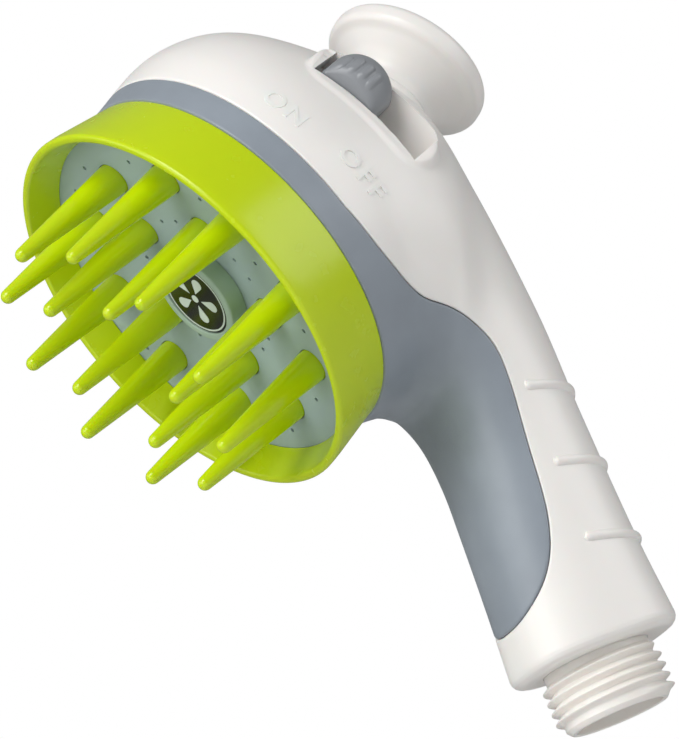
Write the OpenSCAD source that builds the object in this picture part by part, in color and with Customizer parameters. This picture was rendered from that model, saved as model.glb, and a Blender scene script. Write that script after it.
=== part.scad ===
// Handheld bath sprayer with a ring of massage fingers.
// Origin: centre of the hose inlet's end face. +Z runs up the inlet and the handle,
// -Y is the spray side and +X is the side that carries the slide switch.
// Units are millimetres.

/* [Head] */
// Radius of the grey bezel behind the brush ring
bezel_r = 34; // [29:0.5:41]
// Tilt of the spray axis below the horizontal, in degrees
head_tilt = 23.5; // [18:0.5:28]
// Depth of the brush ring, from its rim back to the bezel
ring_depth = 12.7; // [11:0.1:16]
// Width of the grey bezel band behind the brush ring
bezel_band = 5.1; // [4.5:0.1:7]
// Depth of the dome behind the bezel's front edge
dome_depth = 43.5; // [40:0.5:52]
// Wall thickness of the two shells
wall = 2.4; // [1.8:0.1:3]
// Gap at the joint line between the two shells
joint_gap = 0.1; // [0.05:0.05:0.3]

/* [Handle] */
// Length of the handle from its heel up to the throat under the head
handle_len = 47; // [42:0.5:56]
// Half depth of the handle at the throat, on the spray side
throat_front = 11.3; // [10.5:0.1:13.5]
// Half depth of the handle at its heel, on the spray side
heel_front = 14; // [13:0.1:16.5]
// Half depth of the handle at its heel, at the back
heel_back = 14.5; // [13.5:0.1:17]
// Half width of the handle at its middle
grip_half_w = 14.4; // [13.5:0.1:17]
// Half width of the handle at its heel
heel_half_w = 13.1; // [12.6:0.1:15.5]
// Squareness of the heel's cross-section, where 2 is an ellipse
heel_square = 2.8; // [2.2:0.1:3.2]
// Thickness of the heel's floor round the inlet neck
floor_t = 3; // [2:0.1:4]
// Number of finger ribs on the back of the handle
rib_count = 3; // [2:1:4]
// Spacing of the finger ribs
rib_pitch = 13.4; // [11:0.1:14]
// Height of a finger rib above the handle
rib_rise = 0.8; // [0.4:0.1:1.2]
// Width of a finger rib
rib_w = 3; // [2:0.1:4]

/* [Brush] */
// Flare of the brush ring's rim beyond the bezel's radius
rim_flare = 1.65; // [1:0.05:2.5]
// Depth from the brush ring's rim to the edge of the spray plate
plate_inset = 5.6; // [5:0.1:7]
// Dish of the spray plate from its edge to its middle
plate_dish = 1.8; // [0.5:0.1:2.2]
// Thickness of the spray plate
plate_t = 1.8; // [1.4:0.1:2.2]
// Thickness of the finger pad's web
pad_t = 1.5; // [1.2:0.1:2]
// Number of fingers in the outer circle
outer_fingers = 10; // [7:1:11]
// Distance from the plate's edge to the outer circle of fingers
outer_margin = 8.6; // [7.5:0.1:9.5]
// Number of fingers in the inner circle
inner_fingers = 5; // [4:1:6]
// Radius of the inner circle of fingers
inner_circle_r = 14.6; // [13.6:0.1:15.5]
// Turn of the finger pad about the spray axis, in degrees
finger_turn = 6; // [0:1:18]
// Length of a finger from the rim's plane to the middle of its round tip
finger_reach = 15.9; // [12:0.1:20]
// Radius of a finger where it leaves the plate
finger_base_r = 2.9; // [2.4:0.1:3.2]
// Radius of a finger's round tip
finger_tip_r = 1.15; // [0.8:0.05:1.5]
// Radius of a spray hole
spray_hole_r = 0.4; // [0.3:0.05:0.6]

/* [Hub] */
// Radius of the hub cap in the middle of the plate
hub_r = 8.6; // [8:0.1:10]
// Height of the hub cap above the plate
hub_h = 3.6; // [3.4:0.1:5]
// Radius of the black disc in the hub cap
badge_r = 7; // [6:0.1:7.4]
// Thickness of the black disc
badge_t = 1; // [0.6:0.1:1.2]

/* [Switch] */
// Travel of the slide switch from ON to OFF
travel = 8.5; // [7:0.1:9]
// Length of the switch button along its travel
button_len = 11.2; // [10:0.1:13]
// Width of the switch button
button_w = 7; // [6:0.1:8]
// Rise of the button's domed top above the shell
button_rise = 4.4; // [3:0.1:5]
// Clearance round the button in its slot
button_gap = 0.25; // [0.2:0.05:0.4]
// Depth of the pocket that the button slides in
pocket_depth = 4.4; // [4:0.1:5]
// Tilt of the switch's face towards the back, in degrees
switch_tilt = 31.5; // [28:0.5:34]
// Rise of the collar round the switch's slot
collar_rise = 1.4; // [0.8:0.1:1.8]

/* [Valve] */
// Outer radius of the valve's barrel
barrel_r = 6.2; // [5.8:0.1:6.4]
// Bore radius of the valve's barrel
barrel_bore_r = 4; // [3.6:0.1:4.4]
// Radius of the round port between the valve and the chamber
port_r = 2.2; // [1.8:0.1:2.6]
// Radius of an O-ring's cross-section on the spool
ring_section_r = 0.7; // [0.55:0.05:0.85]
// Radius of the spool's push rod
rod_r = 1.8; // [1.4:0.1:2]

/* [Inlet] */
// Major radius of the hose thread, G 1/2
thread_r = 10.4775; // [10.4775]
// Pitch of the hose thread, 14 threads to the inch
thread_pitch = 1.814; // [1.814]
// Depth of the hose thread
thread_depth = 1.162; // [1.162]
// Length of the inlet below the handle's heel
inlet_len = 10.5; // [9.5:0.1:14]
// Turns of thread on the inlet
thread_turns = 4.25; // [3:0.25:4.5]
// Radius of the inlet's bore
inlet_bore_r = 7.7; // [7:0.1:8.2]
// Outer radius of the water tube
tube_r = 5.8; // [5.4:0.1:6.2]
// Wall of the water tube
tube_wall = 1.4; // [1:0.1:1.6]

/* [Hanger knob] */
// Radius of the hanger knob's round cap
knob_r = 14.9; // [13:0.1:17]
// Radius of the hanger knob's neck
knob_neck_r = 8.6; // [7.5:0.1:9.5]
// Distance from the dome to the cap's rim
knob_reach = 8.2; // [8:0.1:12]
// Thickness of the cap's rolled rim
knob_rim = 3.5; // [3:0.1:4.5]
// Tilt of the knob's axis from the spray axis, in degrees
knob_tilt = 13; // [8:0.5:16]

/* [Fasteners] */
// Shank radius of the small self-tapping screws
screw_r = 1.1; // [0.9:0.05:1.2]
// Head radius of the small self-tapping screws
screw_head_r = 2.1; // [1.8:0.1:2.4]
// Shank radius of the plate and knob screws
big_screw_r = 1.5; // [1.3:0.1:1.7]
// Head radius of the plate and knob screws
big_head_r = 3; // [2.6:0.1:3.3]

/* [Hidden] */
$fn = 64;

// Clearances shared by pieces that fit each other
slip = 0.1;        // pieces that slide over or into each other
face_gap = 0.05;   // faces that lie on each other
thread_fit = 0.02; // a screw's shank in its pilot hole
eps = 0.01;

// Places that follow from the driving dimensions
spin = 90 + head_tilt;
heel_z = inlet_len;
throat = [-throat_front, heel_z + handle_len];
throat_drop = 7.5;   // the throat lies this far below the bezel
throat_back = 6.9;   // and this far behind the bezel's front edge
back_y = heel_back - 1.2;

function turn_yz(y, z) = [y * cos(spin) - z * sin(spin), y * sin(spin) + z * cos(spin)];
head_centre = throat - turn_yz(-(bezel_r + throat_drop), -(ring_depth + throat_back));
function head_pt(y, z) = head_centre + turn_yz(y, z);

// Outline of the body: each station holds the spray-side point, the back point, the half
// width and the squareness of one cross-section that contains the X direction.
dome_z = -ring_depth;
function station(front, back, half_w, square) =
  [front[0], front[1], back[0], back[1], half_w, square];
dome_pts = [[1.05, 0.33], [0.90, 0.61], [0.47, 0.865], [0.07, 1]];
dome_widths = [0.99, 0.925, 0.83, 0.725];
throat_pts = [[1.4, 3.3], [2.7, 5.3], [4.7, 6.6], [throat_drop, throat_back]];
function dome_station(i) = station(
  head_pt(-(bezel_r + throat_pts[i][0]), dome_z - throat_pts[i][1]),
  head_pt(bezel_r * dome_pts[i][0], dome_z - dome_depth * dome_pts[i][1]),
  bezel_r * dome_widths[i],
  2
);
function handle_z(share) = heel_z + handle_len * share;
upper_grip = station(
  [-throat_front + 0.2, handle_z(0.75)], [back_y - 0.3, handle_z(1.27)], grip_half_w + 1.6, 2.2
);
nape = let (top = dome_station(3)) station(
  [-throat_front + 0.6, handle_z(0.89)],
  [(top[2] + upper_grip[2]) / 2 + 1.1, (top[3] + upper_grip[3]) / 2 + 3.8],
  (top[4] + upper_grip[4]) / 2 - 1,
  2.1
);
stations = [
  station(head_pt(-bezel_r, dome_z), head_pt(bezel_r, dome_z), bezel_r, 2),
  dome_station(0),
  dome_station(1),
  dome_station(2),
  dome_station(3),
  nape,
  upper_grip,
  station([-throat_front - 0.6, handle_z(0.58)], [back_y, handle_z(0.84)], grip_half_w, 2.3),
  station([-heel_front + 1, handle_z(0.29)], [back_y + 0.4, handle_z(0.36)],
    (grip_half_w + 2 * heel_half_w) / 3 - 0.2, 2.5),
  station([-heel_front, heel_z], [heel_back, heel_z], heel_half_w, heel_square)
];
loft_steps = 36;
loft_sides = 36;

// Smooth curve through a list of points, at place u counted in points
function curve_at(p, u) =
  let (
    last = len(p) - 1,
    i = min(floor(u), last - 1),
    t = u - i,
    p1 = p[i],
    p2 = p[i + 1],
    p0 = i > 0 ? p[i - 1] : 2 * p1 - p2,
    p3 = i < last - 1 ? p[i + 2] : 2 * p2 - p1
  )
  0.5 * (2 * p1 + (p2 - p0) * t + (2 * p0 - 5 * p1 + 4 * p2 - p3) * t * t
    + (3 * p1 - p0 - 3 * p2 + p3) * t * t * t);
function bulge(v, square) = sign(v) * pow(abs(v), 2 / square);

// One point of the body's skin at station u and angle a, moved in by inset
function skin(u, a, inset) =
  let (
    s = curve_at(stations, u),
    mid = [s[0] + s[2], s[1] + s[3]] / 2,
    half = [s[2] - s[0], s[3] - s[1]] / 2,
    reach = half * (1 - inset / norm(half)) * bulge(cos(a), s[5])
  )
  [(s[4] - inset) * bulge(sin(a), s[5]), mid[0] + reach[0], mid[1] + reach[1]];
function section(k, inset) =
  [for (j = [0 : loft_sides - 1])
    skin(k * (len(stations) - 1) / loft_steps, j * 360 / loft_sides, inset)];

// Joint line between the shells, as seen from the side: straight behind the bezel,
// then an S down the side of the handle to its spray side
joint_z = -(ring_depth + bezel_band);
joint_pts = [
  head_pt(-8, joint_z - 0.1),
  head_pt(-bezel_r * 0.52, joint_z - 1.4),
  throat + [-3.9, 15.3],
  throat + [2.8, 11.7],
  throat + [7.7, 6.5],
  throat + [9, -0.5],
  [-3.1, handle_z(0.73)],
  [-4.5, handle_z(0.48)],
  [-8.1, handle_z(0.3)],
  [-heel_front - 1.5, handle_z(0.14)]
];
joint_steps = 5;
joint_curve = [
  for (k = [0 : (len(joint_pts) - 1) * joint_steps]) curve_at(joint_pts, k / joint_steps)
];
far_y = -4 * bezel_r;
front_outline = concat(
  [head_pt(bezel_r * 2, joint_z)],
  joint_curve,
  [[far_y, joint_curve[len(joint_curve) - 1][1]], [far_y, head_pt(bezel_r * 2, joint_z)[1]]]
);

// Plate, pad, ring and chamber, all measured from the rim's plane along the spray axis
plate_r = bezel_r - 1.4;
plate_z = -plate_inset;
plate_mid_z = plate_z - plate_dish;
flat_rim = 3.9;      // flat band round the plate's edge
ring_bore_r = plate_r + slip;
ring_lip_r = plate_r - 0.5;
pad_r = plate_r - 0.6;
pad_z = plate_z - plate_t - face_gap;
gasket_t = 0.9;
gasket_z = pad_z - pad_t - face_gap;
chamber_z = gasket_z - gasket_t - face_gap;
flange_r = plate_r - 0.1;
chamber_r = bezel_r - wall - 0.3;
chamber_wall = 2.1;
chamber_step_z = -(ring_depth + 2.6);
shell_flange_z = chamber_step_z - 0.1;
shell_flange_t = 2;
chamber_back_r = bezel_r - 8.6;
chamber_floor_z = -(ring_depth + 7.5);
chamber_floor_t = 1.8;
chamber_back_z = chamber_floor_z - chamber_floor_t;
boss_r = 2.7;
lug_circle_r = chamber_back_r + 3;
lug_angles = [30, 150, 270];

outer_circle_r = plate_r - outer_margin;
inner_turn = finger_turn + 180 / outer_fingers;
function on_circle(r, a) = r * [cos(a), sin(a)];
fingers = concat(
  [for (i = [0 : outer_fingers - 1]) on_circle(outer_circle_r, finger_turn + i * 360 / outer_fingers)],
  [for (i = [0 : inner_fingers - 1]) on_circle(inner_circle_r, inner_turn + i * 360 / inner_fingers)]
);
finger_seat_r = finger_base_r + 0.15;

// Spray holes lie between the fingers. Each row has a radius, half the distance between
// the two holes of a pair (0 for a single hole), and its place: 0 in the gaps of the inner
// circle of fingers or 1 behind those fingers.
spray_rows = [
  [inner_circle_r - 0.8, 2, 0],
  [inner_circle_r + 4.8, 0, 0],
  [outer_circle_r + 2.3, 0, 0],
  [outer_circle_r - 0.8, 0, 1],
  [outer_circle_r + 4.6, 4, 1]
];
function clear_of_fingers(p) =
  min([for (f = fingers) norm(p - f)]) > finger_seat_r + spray_hole_r + 0.9;
function clear_of_lugs(p) =
  min([for (a = lug_angles) norm(p - on_circle(lug_circle_r, a))]) > boss_r + 0.5;
spray_holes = [
  for (row = spray_rows) for (i = [0 : inner_fingers - 1]) for (s = row[1] > 0 ? [-1, 1] : [0])
    let (
      middle = inner_turn + (i + (1 - row[2]) / 2) * 360 / inner_fingers,
      p = on_circle(row[0], middle + s * asin(row[1] / row[0]))
    )
      if (clear_of_fingers(p) && clear_of_lugs(p)) p
];

// Hub
hub_front_z = plate_mid_z + hub_h;
badge_z = hub_front_z - 0.25;

// The switch sits on the dome's skin at this station and angle
switch_station = 2.8;
switch_angle = 66.7;
switch_seat = skin(switch_station, switch_angle, 0);
function to_head(p) =
  let (q = [p[1], p[2]] - head_centre)
  [p[0], q[0] * cos(spin) + q[1] * sin(spin), -q[0] * sin(spin) + q[1] * cos(spin)];
seat = to_head(switch_seat);
end_gap = 1.35;   // past the button at each end of its travel
slot_len = button_len + travel + 2 * end_gap;
slot_w = button_w + 2 * button_gap;
on_y = travel / 2;
pocket_wall = 1.5;
stem_w = 3;
stem_len = 5;
collar_margin = 3.6;
arm_t = 2.2;
arm_top = -(pocket_depth + pocket_wall + 2.4);
arm_w = 5;

// Valve, measured in the head's frame
valve_z = chamber_back_z - barrel_r - 1.9;
valve_depth = (valve_z - seat[2]) / sin(switch_tilt);
valve_x = seat[0] - valve_depth * cos(switch_tilt);
port_y = seat[1] - 9.9;
spool_ring_span = 2 * (port_r + ring_section_r) + 0.5;
barrel_top_y = port_y + spool_ring_span / 2 + travel + ring_section_r + 1.1;
barrel_low_y = port_y - spool_ring_span / 2 - ring_section_r - 3.2;
cap_t = 2.2;
arm_leg_t = 2;
arm_leg_y = barrel_top_y + cap_t + travel + arm_leg_t / 2 + 0.4;
rod_top_y = arm_leg_y + arm_leg_t / 2 + 1.1;
rod_pin_r = rod_r - 0.5;
clip_groove_r = rod_pin_r - 0.3;
spigot_r = 4.2;
port_bore_r = 5.2;
ear_reach = 8.5;
ear_t = 1.8;
ear_z = chamber_back_z - 1.2;
barb_r = tube_r - tube_wall - 0.05;
barb_bore_r = barb_r - 1.2;
nipple_len = 9;
nipple_end_y = barrel_low_y - nipple_len;

// Inlet fitting
thread_root_r = thread_r - thread_depth;
neck_hole_r = thread_root_r + slip;
seat_z = heel_z + floor_t + face_gap;
inlet_flange_t = 2.4;
barb_z = seat_z + inlet_flange_t;
barb_top_z = barb_z + nipple_len;
thread_start = 1.3;

// Route of the water tube from the inlet's barb to the valve's nipple
nipple_root = head_pt(barrel_low_y, valve_z);
nipple_dir = turn_yz(-1, 0);
function nipple_pt(d) =
  [valve_x, nipple_root[0] + d * nipple_dir[0], nipple_root[1] + d * nipple_dir[1]];
tube_start = barb_z + 0.4;
function core_pt(u, x) =
  let (s = curve_at(stations, u)) [x, (s[0] + s[2]) / 2, (s[1] + s[3]) / 2];
tube_route = [
  [0, 0, tube_start],
  [0, 0, barb_top_z - 3.5],
  [0, 0, barb_top_z + 1],
  [0, 0, barb_top_z + 5],
  core_pt(7.4, valve_x * 0.1),
  core_pt(6.3, valve_x * 0.25),
  core_pt(5.35, valve_x * 0.52),
  nipple_pt(nipple_len + 4.8),
  nipple_pt(nipple_len + 0.5),
  nipple_pt(nipple_len / 2 + 0.5),
  nipple_pt(0.4)
];
tube_rings = 40;
tube_sides = 16;

// Knob
knob_seat = to_head(skin(3.92, 0, 0));
knob_lift = 1;
knob_boss_z = -5.4;

// Screws, spool and seals
plate_screw_len = 9.5;
chamber_screw_len = 5.5;
spool_land_r = barrel_bore_r - slip / 2;
ring_groove_r = barrel_bore_r - 2 * ring_section_r;
spool_mid_y = port_y + travel;
seal_section = 0.6;

module in_head() {
  translate([0, head_centre[0], head_centre[1]]) rotate([spin, 0, 0]) children();
}

module in_switch(y = 0) {
  in_head() translate([seat[0], seat[1] + y, seat[2]]) rotate([0, 90 + switch_tilt, 0]) children();
}

module in_knob() {
  in_head() translate([0, knob_seat[1], knob_seat[2]]) rotate([180 + knob_tilt, 0, 0]) children();
}

module along_y(y0, y1, r) {
  translate([0, y0, 0]) rotate([-90, 0, 0]) cylinder(r = r, h = y1 - y0);
}

module turned(points) {
  rotate_extrude() polygon(points);
}

// Solid between two cross-sections of the body
module segment(a, b) {
  n = loft_sides;
  walls = [for (j = [0 : n - 1]) [j, (j + 1) % n, n + (j + 1) % n, n + j]];
  low = [[for (j = [n - 1 : -1 : 0]) j]];
  high = [[for (j = [0 : n - 1]) n + j]];
  hull() polyhedron(concat(a, b), concat(low, walls, high));
}

module body_form(inset) {
  for (k = [0 : loft_steps - 1]) segment(section(k, inset), section(k + 1, inset));
}

// Hollow of the body, open at the bezel and closed by the heel's floor
module cavity() {
  big = 6 * bezel_r;
  mouth = section(0, wall);
  forward = turn_yz(0, 2);
  intersection() {
    body_form(wall);
    translate([-big / 2, -big, heel_z + floor_t]) cube([big, 2 * big, big]);
  }
  segment([for (p = mouth) p + [0, forward[0], forward[1]]], mouth);
}

module front_side(grow) {
  rotate([90, 0, 90]) linear_extrude(5 * bezel_r, center = true)
    offset(delta = grow) polygon(front_outline);
}

// Finger ribs wrap the back half of the handle and fall slightly towards the back
module finger_ribs() {
  fall = 9;
  first_z = handle_z(0.37);
  intersection() {
    body_form(-rib_rise);
    for (i = [0 : rib_count - 1])
      translate([0, 1, first_z + i * rib_pitch]) rotate([-fall, 0, 0])
        hull() {
          translate([-2 * grip_half_w, 1, -rib_w / 2 + 0.6]) cube([4 * grip_half_w, 40, rib_w - 1.2]);
          translate([-2 * grip_half_w, 2, -rib_w / 2]) cube([4 * grip_half_w, 40, rib_w]);
        }
  }
}

// The collar is a raised band of the body's own skin round the slot, in two steps
module collar() {
  end_y = (slot_len - slot_w) / 2;
  for (step = [[0.5, 0], [1, 1]])
    intersection() {
      body_form(-collar_rise * step[0]);
      in_switch() translate([0, 0, -6]) linear_extrude(16)
        hull() for (s = [-1, 1]) translate([0, s * end_y])
          circle(r = slot_w / 2 + collar_margin - step[1], $fn = 32);
    }
}

module knob_pad() {
  in_knob() translate([0, 0, -6]) cylinder(r1 = knob_neck_r + 3, r2 = knob_neck_r, h = 6 + knob_lift);
}

module rear_shell() {
  color("ivory") difference() {
    union() {
      difference() {
        union() {
          body_form(0);
          finger_ribs();
          collar();
          knob_pad();
        }
        cavity();
      }
      intersection() {
        body_form(wall / 2);
        union() {
          in_switch() translate([-slot_w / 2 - pocket_wall, -slot_len / 2 - pocket_wall,
            -pocket_depth - pocket_wall])
            cube([slot_w + 2 * pocket_wall, slot_len + 2 * pocket_wall, pocket_depth + pocket_wall]);
          in_knob() translate([0, 0, knob_boss_z]) cylinder(r = 5, h = -knob_boss_z);
          translate([-6, heel_back - 7, seat_z + inlet_flange_t + face_gap]) cube([12, 6, 2.5]);
        }
      }
    }
    front_side(joint_gap);
    in_switch() translate([-slot_w / 2, -slot_len / 2, -pocket_depth]) cube([slot_w, slot_len, 20]);
    in_switch() translate([-stem_w / 2 - button_gap, -(stem_len + travel) / 2 - button_gap, -20])
      cube([stem_w + 2 * button_gap, stem_len + travel + 2 * button_gap, 20]);
    translate([0, 0, heel_z - 1]) cylinder(r = neck_hole_r, h = floor_t + 2);
    in_knob() translate([0, 0, -10]) cylinder(r = big_screw_r + slip, h = 30);
  }
}

module front_shell() {
  tongue_r = bezel_r - wall - 1;
  color("slategray") {
    difference() {
      intersection() {
        body_form(0);
        front_side(0);
      }
      cavity();
    }
    in_head() difference() {
      union() {
        translate([0, 0, shell_flange_z - shell_flange_t])
          cylinder(r = bezel_r - wall + 0.6, h = shell_flange_t);
        for (a = [0, 60, 120, 180])
          rotate([0, 0, a]) translate([tongue_r - 1.4, -4, joint_z - 3.5]) cube([1.4, 8, 5.5]);
      }
      translate([0, 0, dome_z - 20]) cylinder(r = chamber_back_r + 0.3, h = 30);
      for (a = lug_angles) rotate([0, 0, a]) translate([lug_circle_r, 0, dome_z - 10])
        cylinder(r = screw_r + 0.3, h = 20);
    }
    intersection() {
      body_form(wall + 0.2);
      translate([-5, -heel_front, barb_z + 0.6]) cube([10, 4.2, handle_z(0.33) - barb_z]);
    }
    intersection() {
      body_form(wall / 2);
      translate([-5, -heel_front, handle_z(0.26)]) cube([10, 4.2, handle_len * 0.12]);
    }
  }
}

module brush_ring() {
  top_r = bezel_r + rim_flare;
  color("yellowgreen") in_head() turned([
    [ring_bore_r, dome_z],
    [bezel_r - 0.3, dome_z],
    [top_r - 0.15, -1.2],
    [top_r, -0.5],
    [top_r - 0.15, 0],
    [top_r - 0.6, 0.3],
    [top_r - 1.1, 0.25],
    [top_r - 1.45, 0],
    [ring_lip_r, plate_z + face_gap],
    [ring_bore_r, plate_z + face_gap]
  ]);
}

// Dished disc profile shared by the plate and the pad
function dished(r_out, z_edge, t) = [
  [0, z_edge - plate_dish],
  [hub_r + 0.2, z_edge - plate_dish],
  [plate_r - flat_rim, z_edge],
  [r_out, z_edge],
  [r_out, z_edge - t],
  [plate_r - flat_rim, z_edge - t],
  [hub_r + 0.2, z_edge - plate_dish - t],
  [0, z_edge - plate_dish - t]
];

module spray_plate() {
  color("lightsteelblue") in_head() difference() {
    turned(dished(plate_r, plate_z, plate_t));
    for (p = fingers) translate([p[0], p[1], dome_z]) cylinder(r = finger_seat_r, h = 20);
    for (p = spray_holes) translate([p[0], p[1], dome_z]) cylinder(r = spray_hole_r, h = 20);
    translate([0, 0, dome_z]) cylinder(r = big_screw_r + slip, h = 20);
  }
}

module finger_pad() {
  root_z = pad_z - plate_dish - 0.5;
  color("yellowgreen") in_head() difference() {
    union() {
      turned(dished(pad_r, pad_z, pad_t));
      for (p = fingers) translate([p[0], p[1], root_z]) turned([
        [0, 0],
        [finger_base_r, 0],
        [finger_base_r, plate_z - root_z],
        [finger_tip_r, finger_reach - root_z],
        [finger_tip_r * 0.7, finger_reach + finger_tip_r * 0.7 - root_z],
        [0, finger_reach + finger_tip_r - root_z]
      ]);
    }
    for (p = spray_holes) translate([p[0], p[1], dome_z]) cylinder(r = spray_hole_r + 0.5, h = 20);
    translate([0, 0, dome_z]) cylinder(r = big_screw_r + slip, h = 20);
  }
}

module hub_cap() {
  color("honeydew") in_head() turned([
    [big_head_r + 0.3, plate_mid_z + face_gap],
    [hub_r, plate_mid_z + face_gap],
    [hub_r, hub_front_z - 0.5],
    [hub_r - 0.3, hub_front_z],
    [badge_r + slip, hub_front_z],
    [badge_r + slip, badge_z - badge_t - face_gap],
    [0, badge_z - badge_t - face_gap],
    [0, badge_z - badge_t - 0.6],
    [big_head_r + 0.3, badge_z - badge_t - 0.6]
  ]);
}

module badge_disc() {
  color("black") in_head() translate([0, 0, badge_z - badge_t]) cylinder(r = badge_r, h = badge_t);
}

module pan_screw(r, head_r, head_h, length) {
  difference() {
    union() {
      translate([0, 0, -length]) cylinder(r = r, h = length);
      cylinder(r = head_r, h = head_h);
    }
    for (a = [0, 90]) rotate([0, 0, a]) translate([-head_r * 0.6, -0.25, head_h - 0.6])
      cube([head_r * 1.2, 0.5, 1]);
  }
}

module plate_screw() {
  color("silver") in_head() translate([0, 0, plate_mid_z + face_gap])
    pan_screw(big_screw_r, big_head_r, 1.4, plate_screw_len);
}

module plate_gasket() {
  color("dimgray") in_head() translate([0, 0, gasket_z - gasket_t]) difference() {
    cylinder(r = pad_r - 0.2, h = gasket_t);
    translate([0, 0, -1]) cylinder(r = chamber_r - chamber_wall, h = gasket_t + 2);
  }
}

module water_chamber() {
  inner_r = chamber_r - chamber_wall;
  step_floor_z = chamber_step_z + 1.7;
  boss_front_z = plate_mid_z - plate_t - pad_t - 0.2;
  port_collar_r = port_bore_r + 2;
  color("gainsboro") in_head() difference() {
    union() {
      turned([
        [0, chamber_back_z],
        [chamber_back_r, chamber_back_z],
        [chamber_back_r, chamber_step_z],
        [chamber_r, chamber_step_z],
        [chamber_r, dome_z + face_gap],
        [flange_r, dome_z + face_gap],
        [flange_r, chamber_z],
        [inner_r, chamber_z],
        [inner_r, step_floor_z],
        [chamber_back_r - 1.7, step_floor_z],
        [chamber_back_r - 1.7, chamber_floor_z],
        [0, chamber_floor_z]
      ]);
      translate([0, 0, chamber_floor_z - eps]) cylinder(r = 4, h = boss_front_z - chamber_floor_z);
      for (a = lug_angles) rotate([0, 0, a]) translate([lug_circle_r, 0, step_floor_z - 1])
        cylinder(r = boss_r, h = chamber_z - step_floor_z + 0.4);
      for (s = [-1, 1]) translate([valve_x + s * ear_reach, port_y, ear_z + face_gap])
        cylinder(r = boss_r, h = chamber_floor_z + 3.5 - ear_z);
      translate([valve_x, port_y, chamber_back_z - 0.9])
        cylinder(r = port_collar_r, h = chamber_floor_z - chamber_back_z + 2.4);
    }
    translate([0, 0, boss_front_z - plate_screw_len]) cylinder(r = big_screw_r + thread_fit, h = 20);
    for (a = lug_angles) rotate([0, 0, a]) translate([lug_circle_r, 0, chamber_step_z - 5])
      cylinder(r = screw_r + thread_fit, h = 8.8);
    for (s = [-1, 1]) translate([valve_x + s * ear_reach, port_y, ear_z - 1])
      cylinder(r = screw_r + thread_fit, h = chamber_floor_z + 3.5 - ear_z);
    translate([valve_x, port_y, chamber_back_z - 5]) cylinder(r = port_bore_r, h = 7.3);
    translate([valve_x, port_y, chamber_back_z - 5]) cylinder(r = port_r, h = 20);
  }
}

module chamber_screws() {
  color("silver") in_head() for (a = lug_angles) rotate([0, 0, a])
    translate([lug_circle_r, 0, shell_flange_z - shell_flange_t - face_gap]) rotate([180, 0, 0])
      pan_screw(screw_r, screw_head_r, 1.4, chamber_screw_len);
}

module port_o_ring() {
  mid_r = (spigot_r + port_bore_r) / 2;
  color("dimgray") in_head() translate([valve_x, port_y, chamber_back_z])
    rotate_extrude() translate([mid_r, 0]) circle(r = (port_bore_r - spigot_r) / 2 - 0.02);
}

// The barrel lies along the switch's travel, with its outlet towards the chamber
module valve_body() {
  spigot_top = chamber_back_z + 2.2;
  color("whitesmoke") in_head() translate([valve_x, 0, valve_z]) difference() {
    union() {
      along_y(barrel_low_y, barrel_top_y, barrel_r);
      along_y(nipple_end_y, barrel_low_y + 1, barb_r);
      translate([0, port_y, 0]) cylinder(r = spigot_r, h = spigot_top - valve_z);
      translate([-ear_reach - boss_r, port_y - boss_r, ear_z - valve_z - ear_t])
        cube([2 * (ear_reach + boss_r), 2 * boss_r, ear_t]);
    }
    along_y(barrel_low_y + 2, barrel_top_y + 1, barrel_bore_r);
    along_y(nipple_end_y - 1, barrel_low_y + 3, barb_bore_r);
    translate([0, port_y, 0]) cylinder(r = port_r, h = 20);
    for (s = [-1, 1]) translate([s * ear_reach, port_y, 0]) cylinder(r = screw_r + slip, h = 20);
  }
}

module valve_screws() {
  color("silver") in_head() for (s = [-1, 1])
    translate([valve_x + s * ear_reach, port_y, ear_z - ear_t - face_gap]) rotate([180, 0, 0])
      pan_screw(screw_r, screw_head_r, 1.4, 6);
}

module valve_spool() {
  span = spool_ring_span / 2;
  land = ring_section_r + 0.5;
  balance_r = (ring_groove_r - rod_r) / 2 - 0.1;
  color("white") in_head() translate([valve_x, 0, valve_z]) difference() {
    union() {
      along_y(spool_mid_y - span - land, spool_mid_y + span + land, spool_land_r);
      along_y(spool_mid_y, arm_leg_y - arm_leg_t / 2 - face_gap, rod_r);
      along_y(spool_mid_y, rod_top_y, rod_pin_r);
    }
    for (s = [-1, 1]) difference() {
      along_y(spool_mid_y + s * span - ring_section_r - 0.05,
        spool_mid_y + s * span + ring_section_r + 0.05, spool_land_r + 1);
      along_y(spool_mid_y + s * span - 2, spool_mid_y + s * span + 2, ring_groove_r);
    }
    difference() {
      along_y(rod_top_y - 0.95, rod_top_y - 0.35, rod_r + 1);
      along_y(rod_top_y - 2, rod_top_y, clip_groove_r);
    }
    // passage that balances the water's push on the spool's two faces
    translate([0, 0, (ring_groove_r + rod_r) / 2])
      along_y(spool_mid_y - span - 5, spool_mid_y + span + 5, balance_r);
  }
}

module spool_o_rings() {
  color("dimgray") in_head() translate([valve_x, 0, valve_z]) for (s = [-1, 1])
    translate([0, spool_mid_y + s * spool_ring_span / 2, 0]) rotate([90, 0, 0])
      rotate_extrude() translate([barrel_bore_r - ring_section_r, 0])
        circle(r = ring_section_r - 0.02);
}

module valve_end_cap() {
  color("whitesmoke") in_head() translate([valve_x, 0, valve_z]) difference() {
    union() {
      along_y(barrel_top_y + face_gap, barrel_top_y + cap_t, barrel_r);
      along_y(barrel_top_y - 0.3, barrel_top_y + 0.5, barrel_bore_r - slip);
    }
    along_y(barrel_top_y - 2, barrel_top_y + cap_t + 1, rod_r + slip);
    along_y(barrel_top_y + 0.7, barrel_top_y + 0.7 + 2 * seal_section, rod_r + 2 * seal_section);
  }
}

module rod_seal() {
  color("dimgray") in_head() translate([valve_x, barrel_top_y + 0.7 + seal_section, valve_z])
    rotate([90, 0, 0]) rotate_extrude() translate([rod_r + seal_section, 0])
      circle(r = seal_section - 0.02);
}

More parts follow.
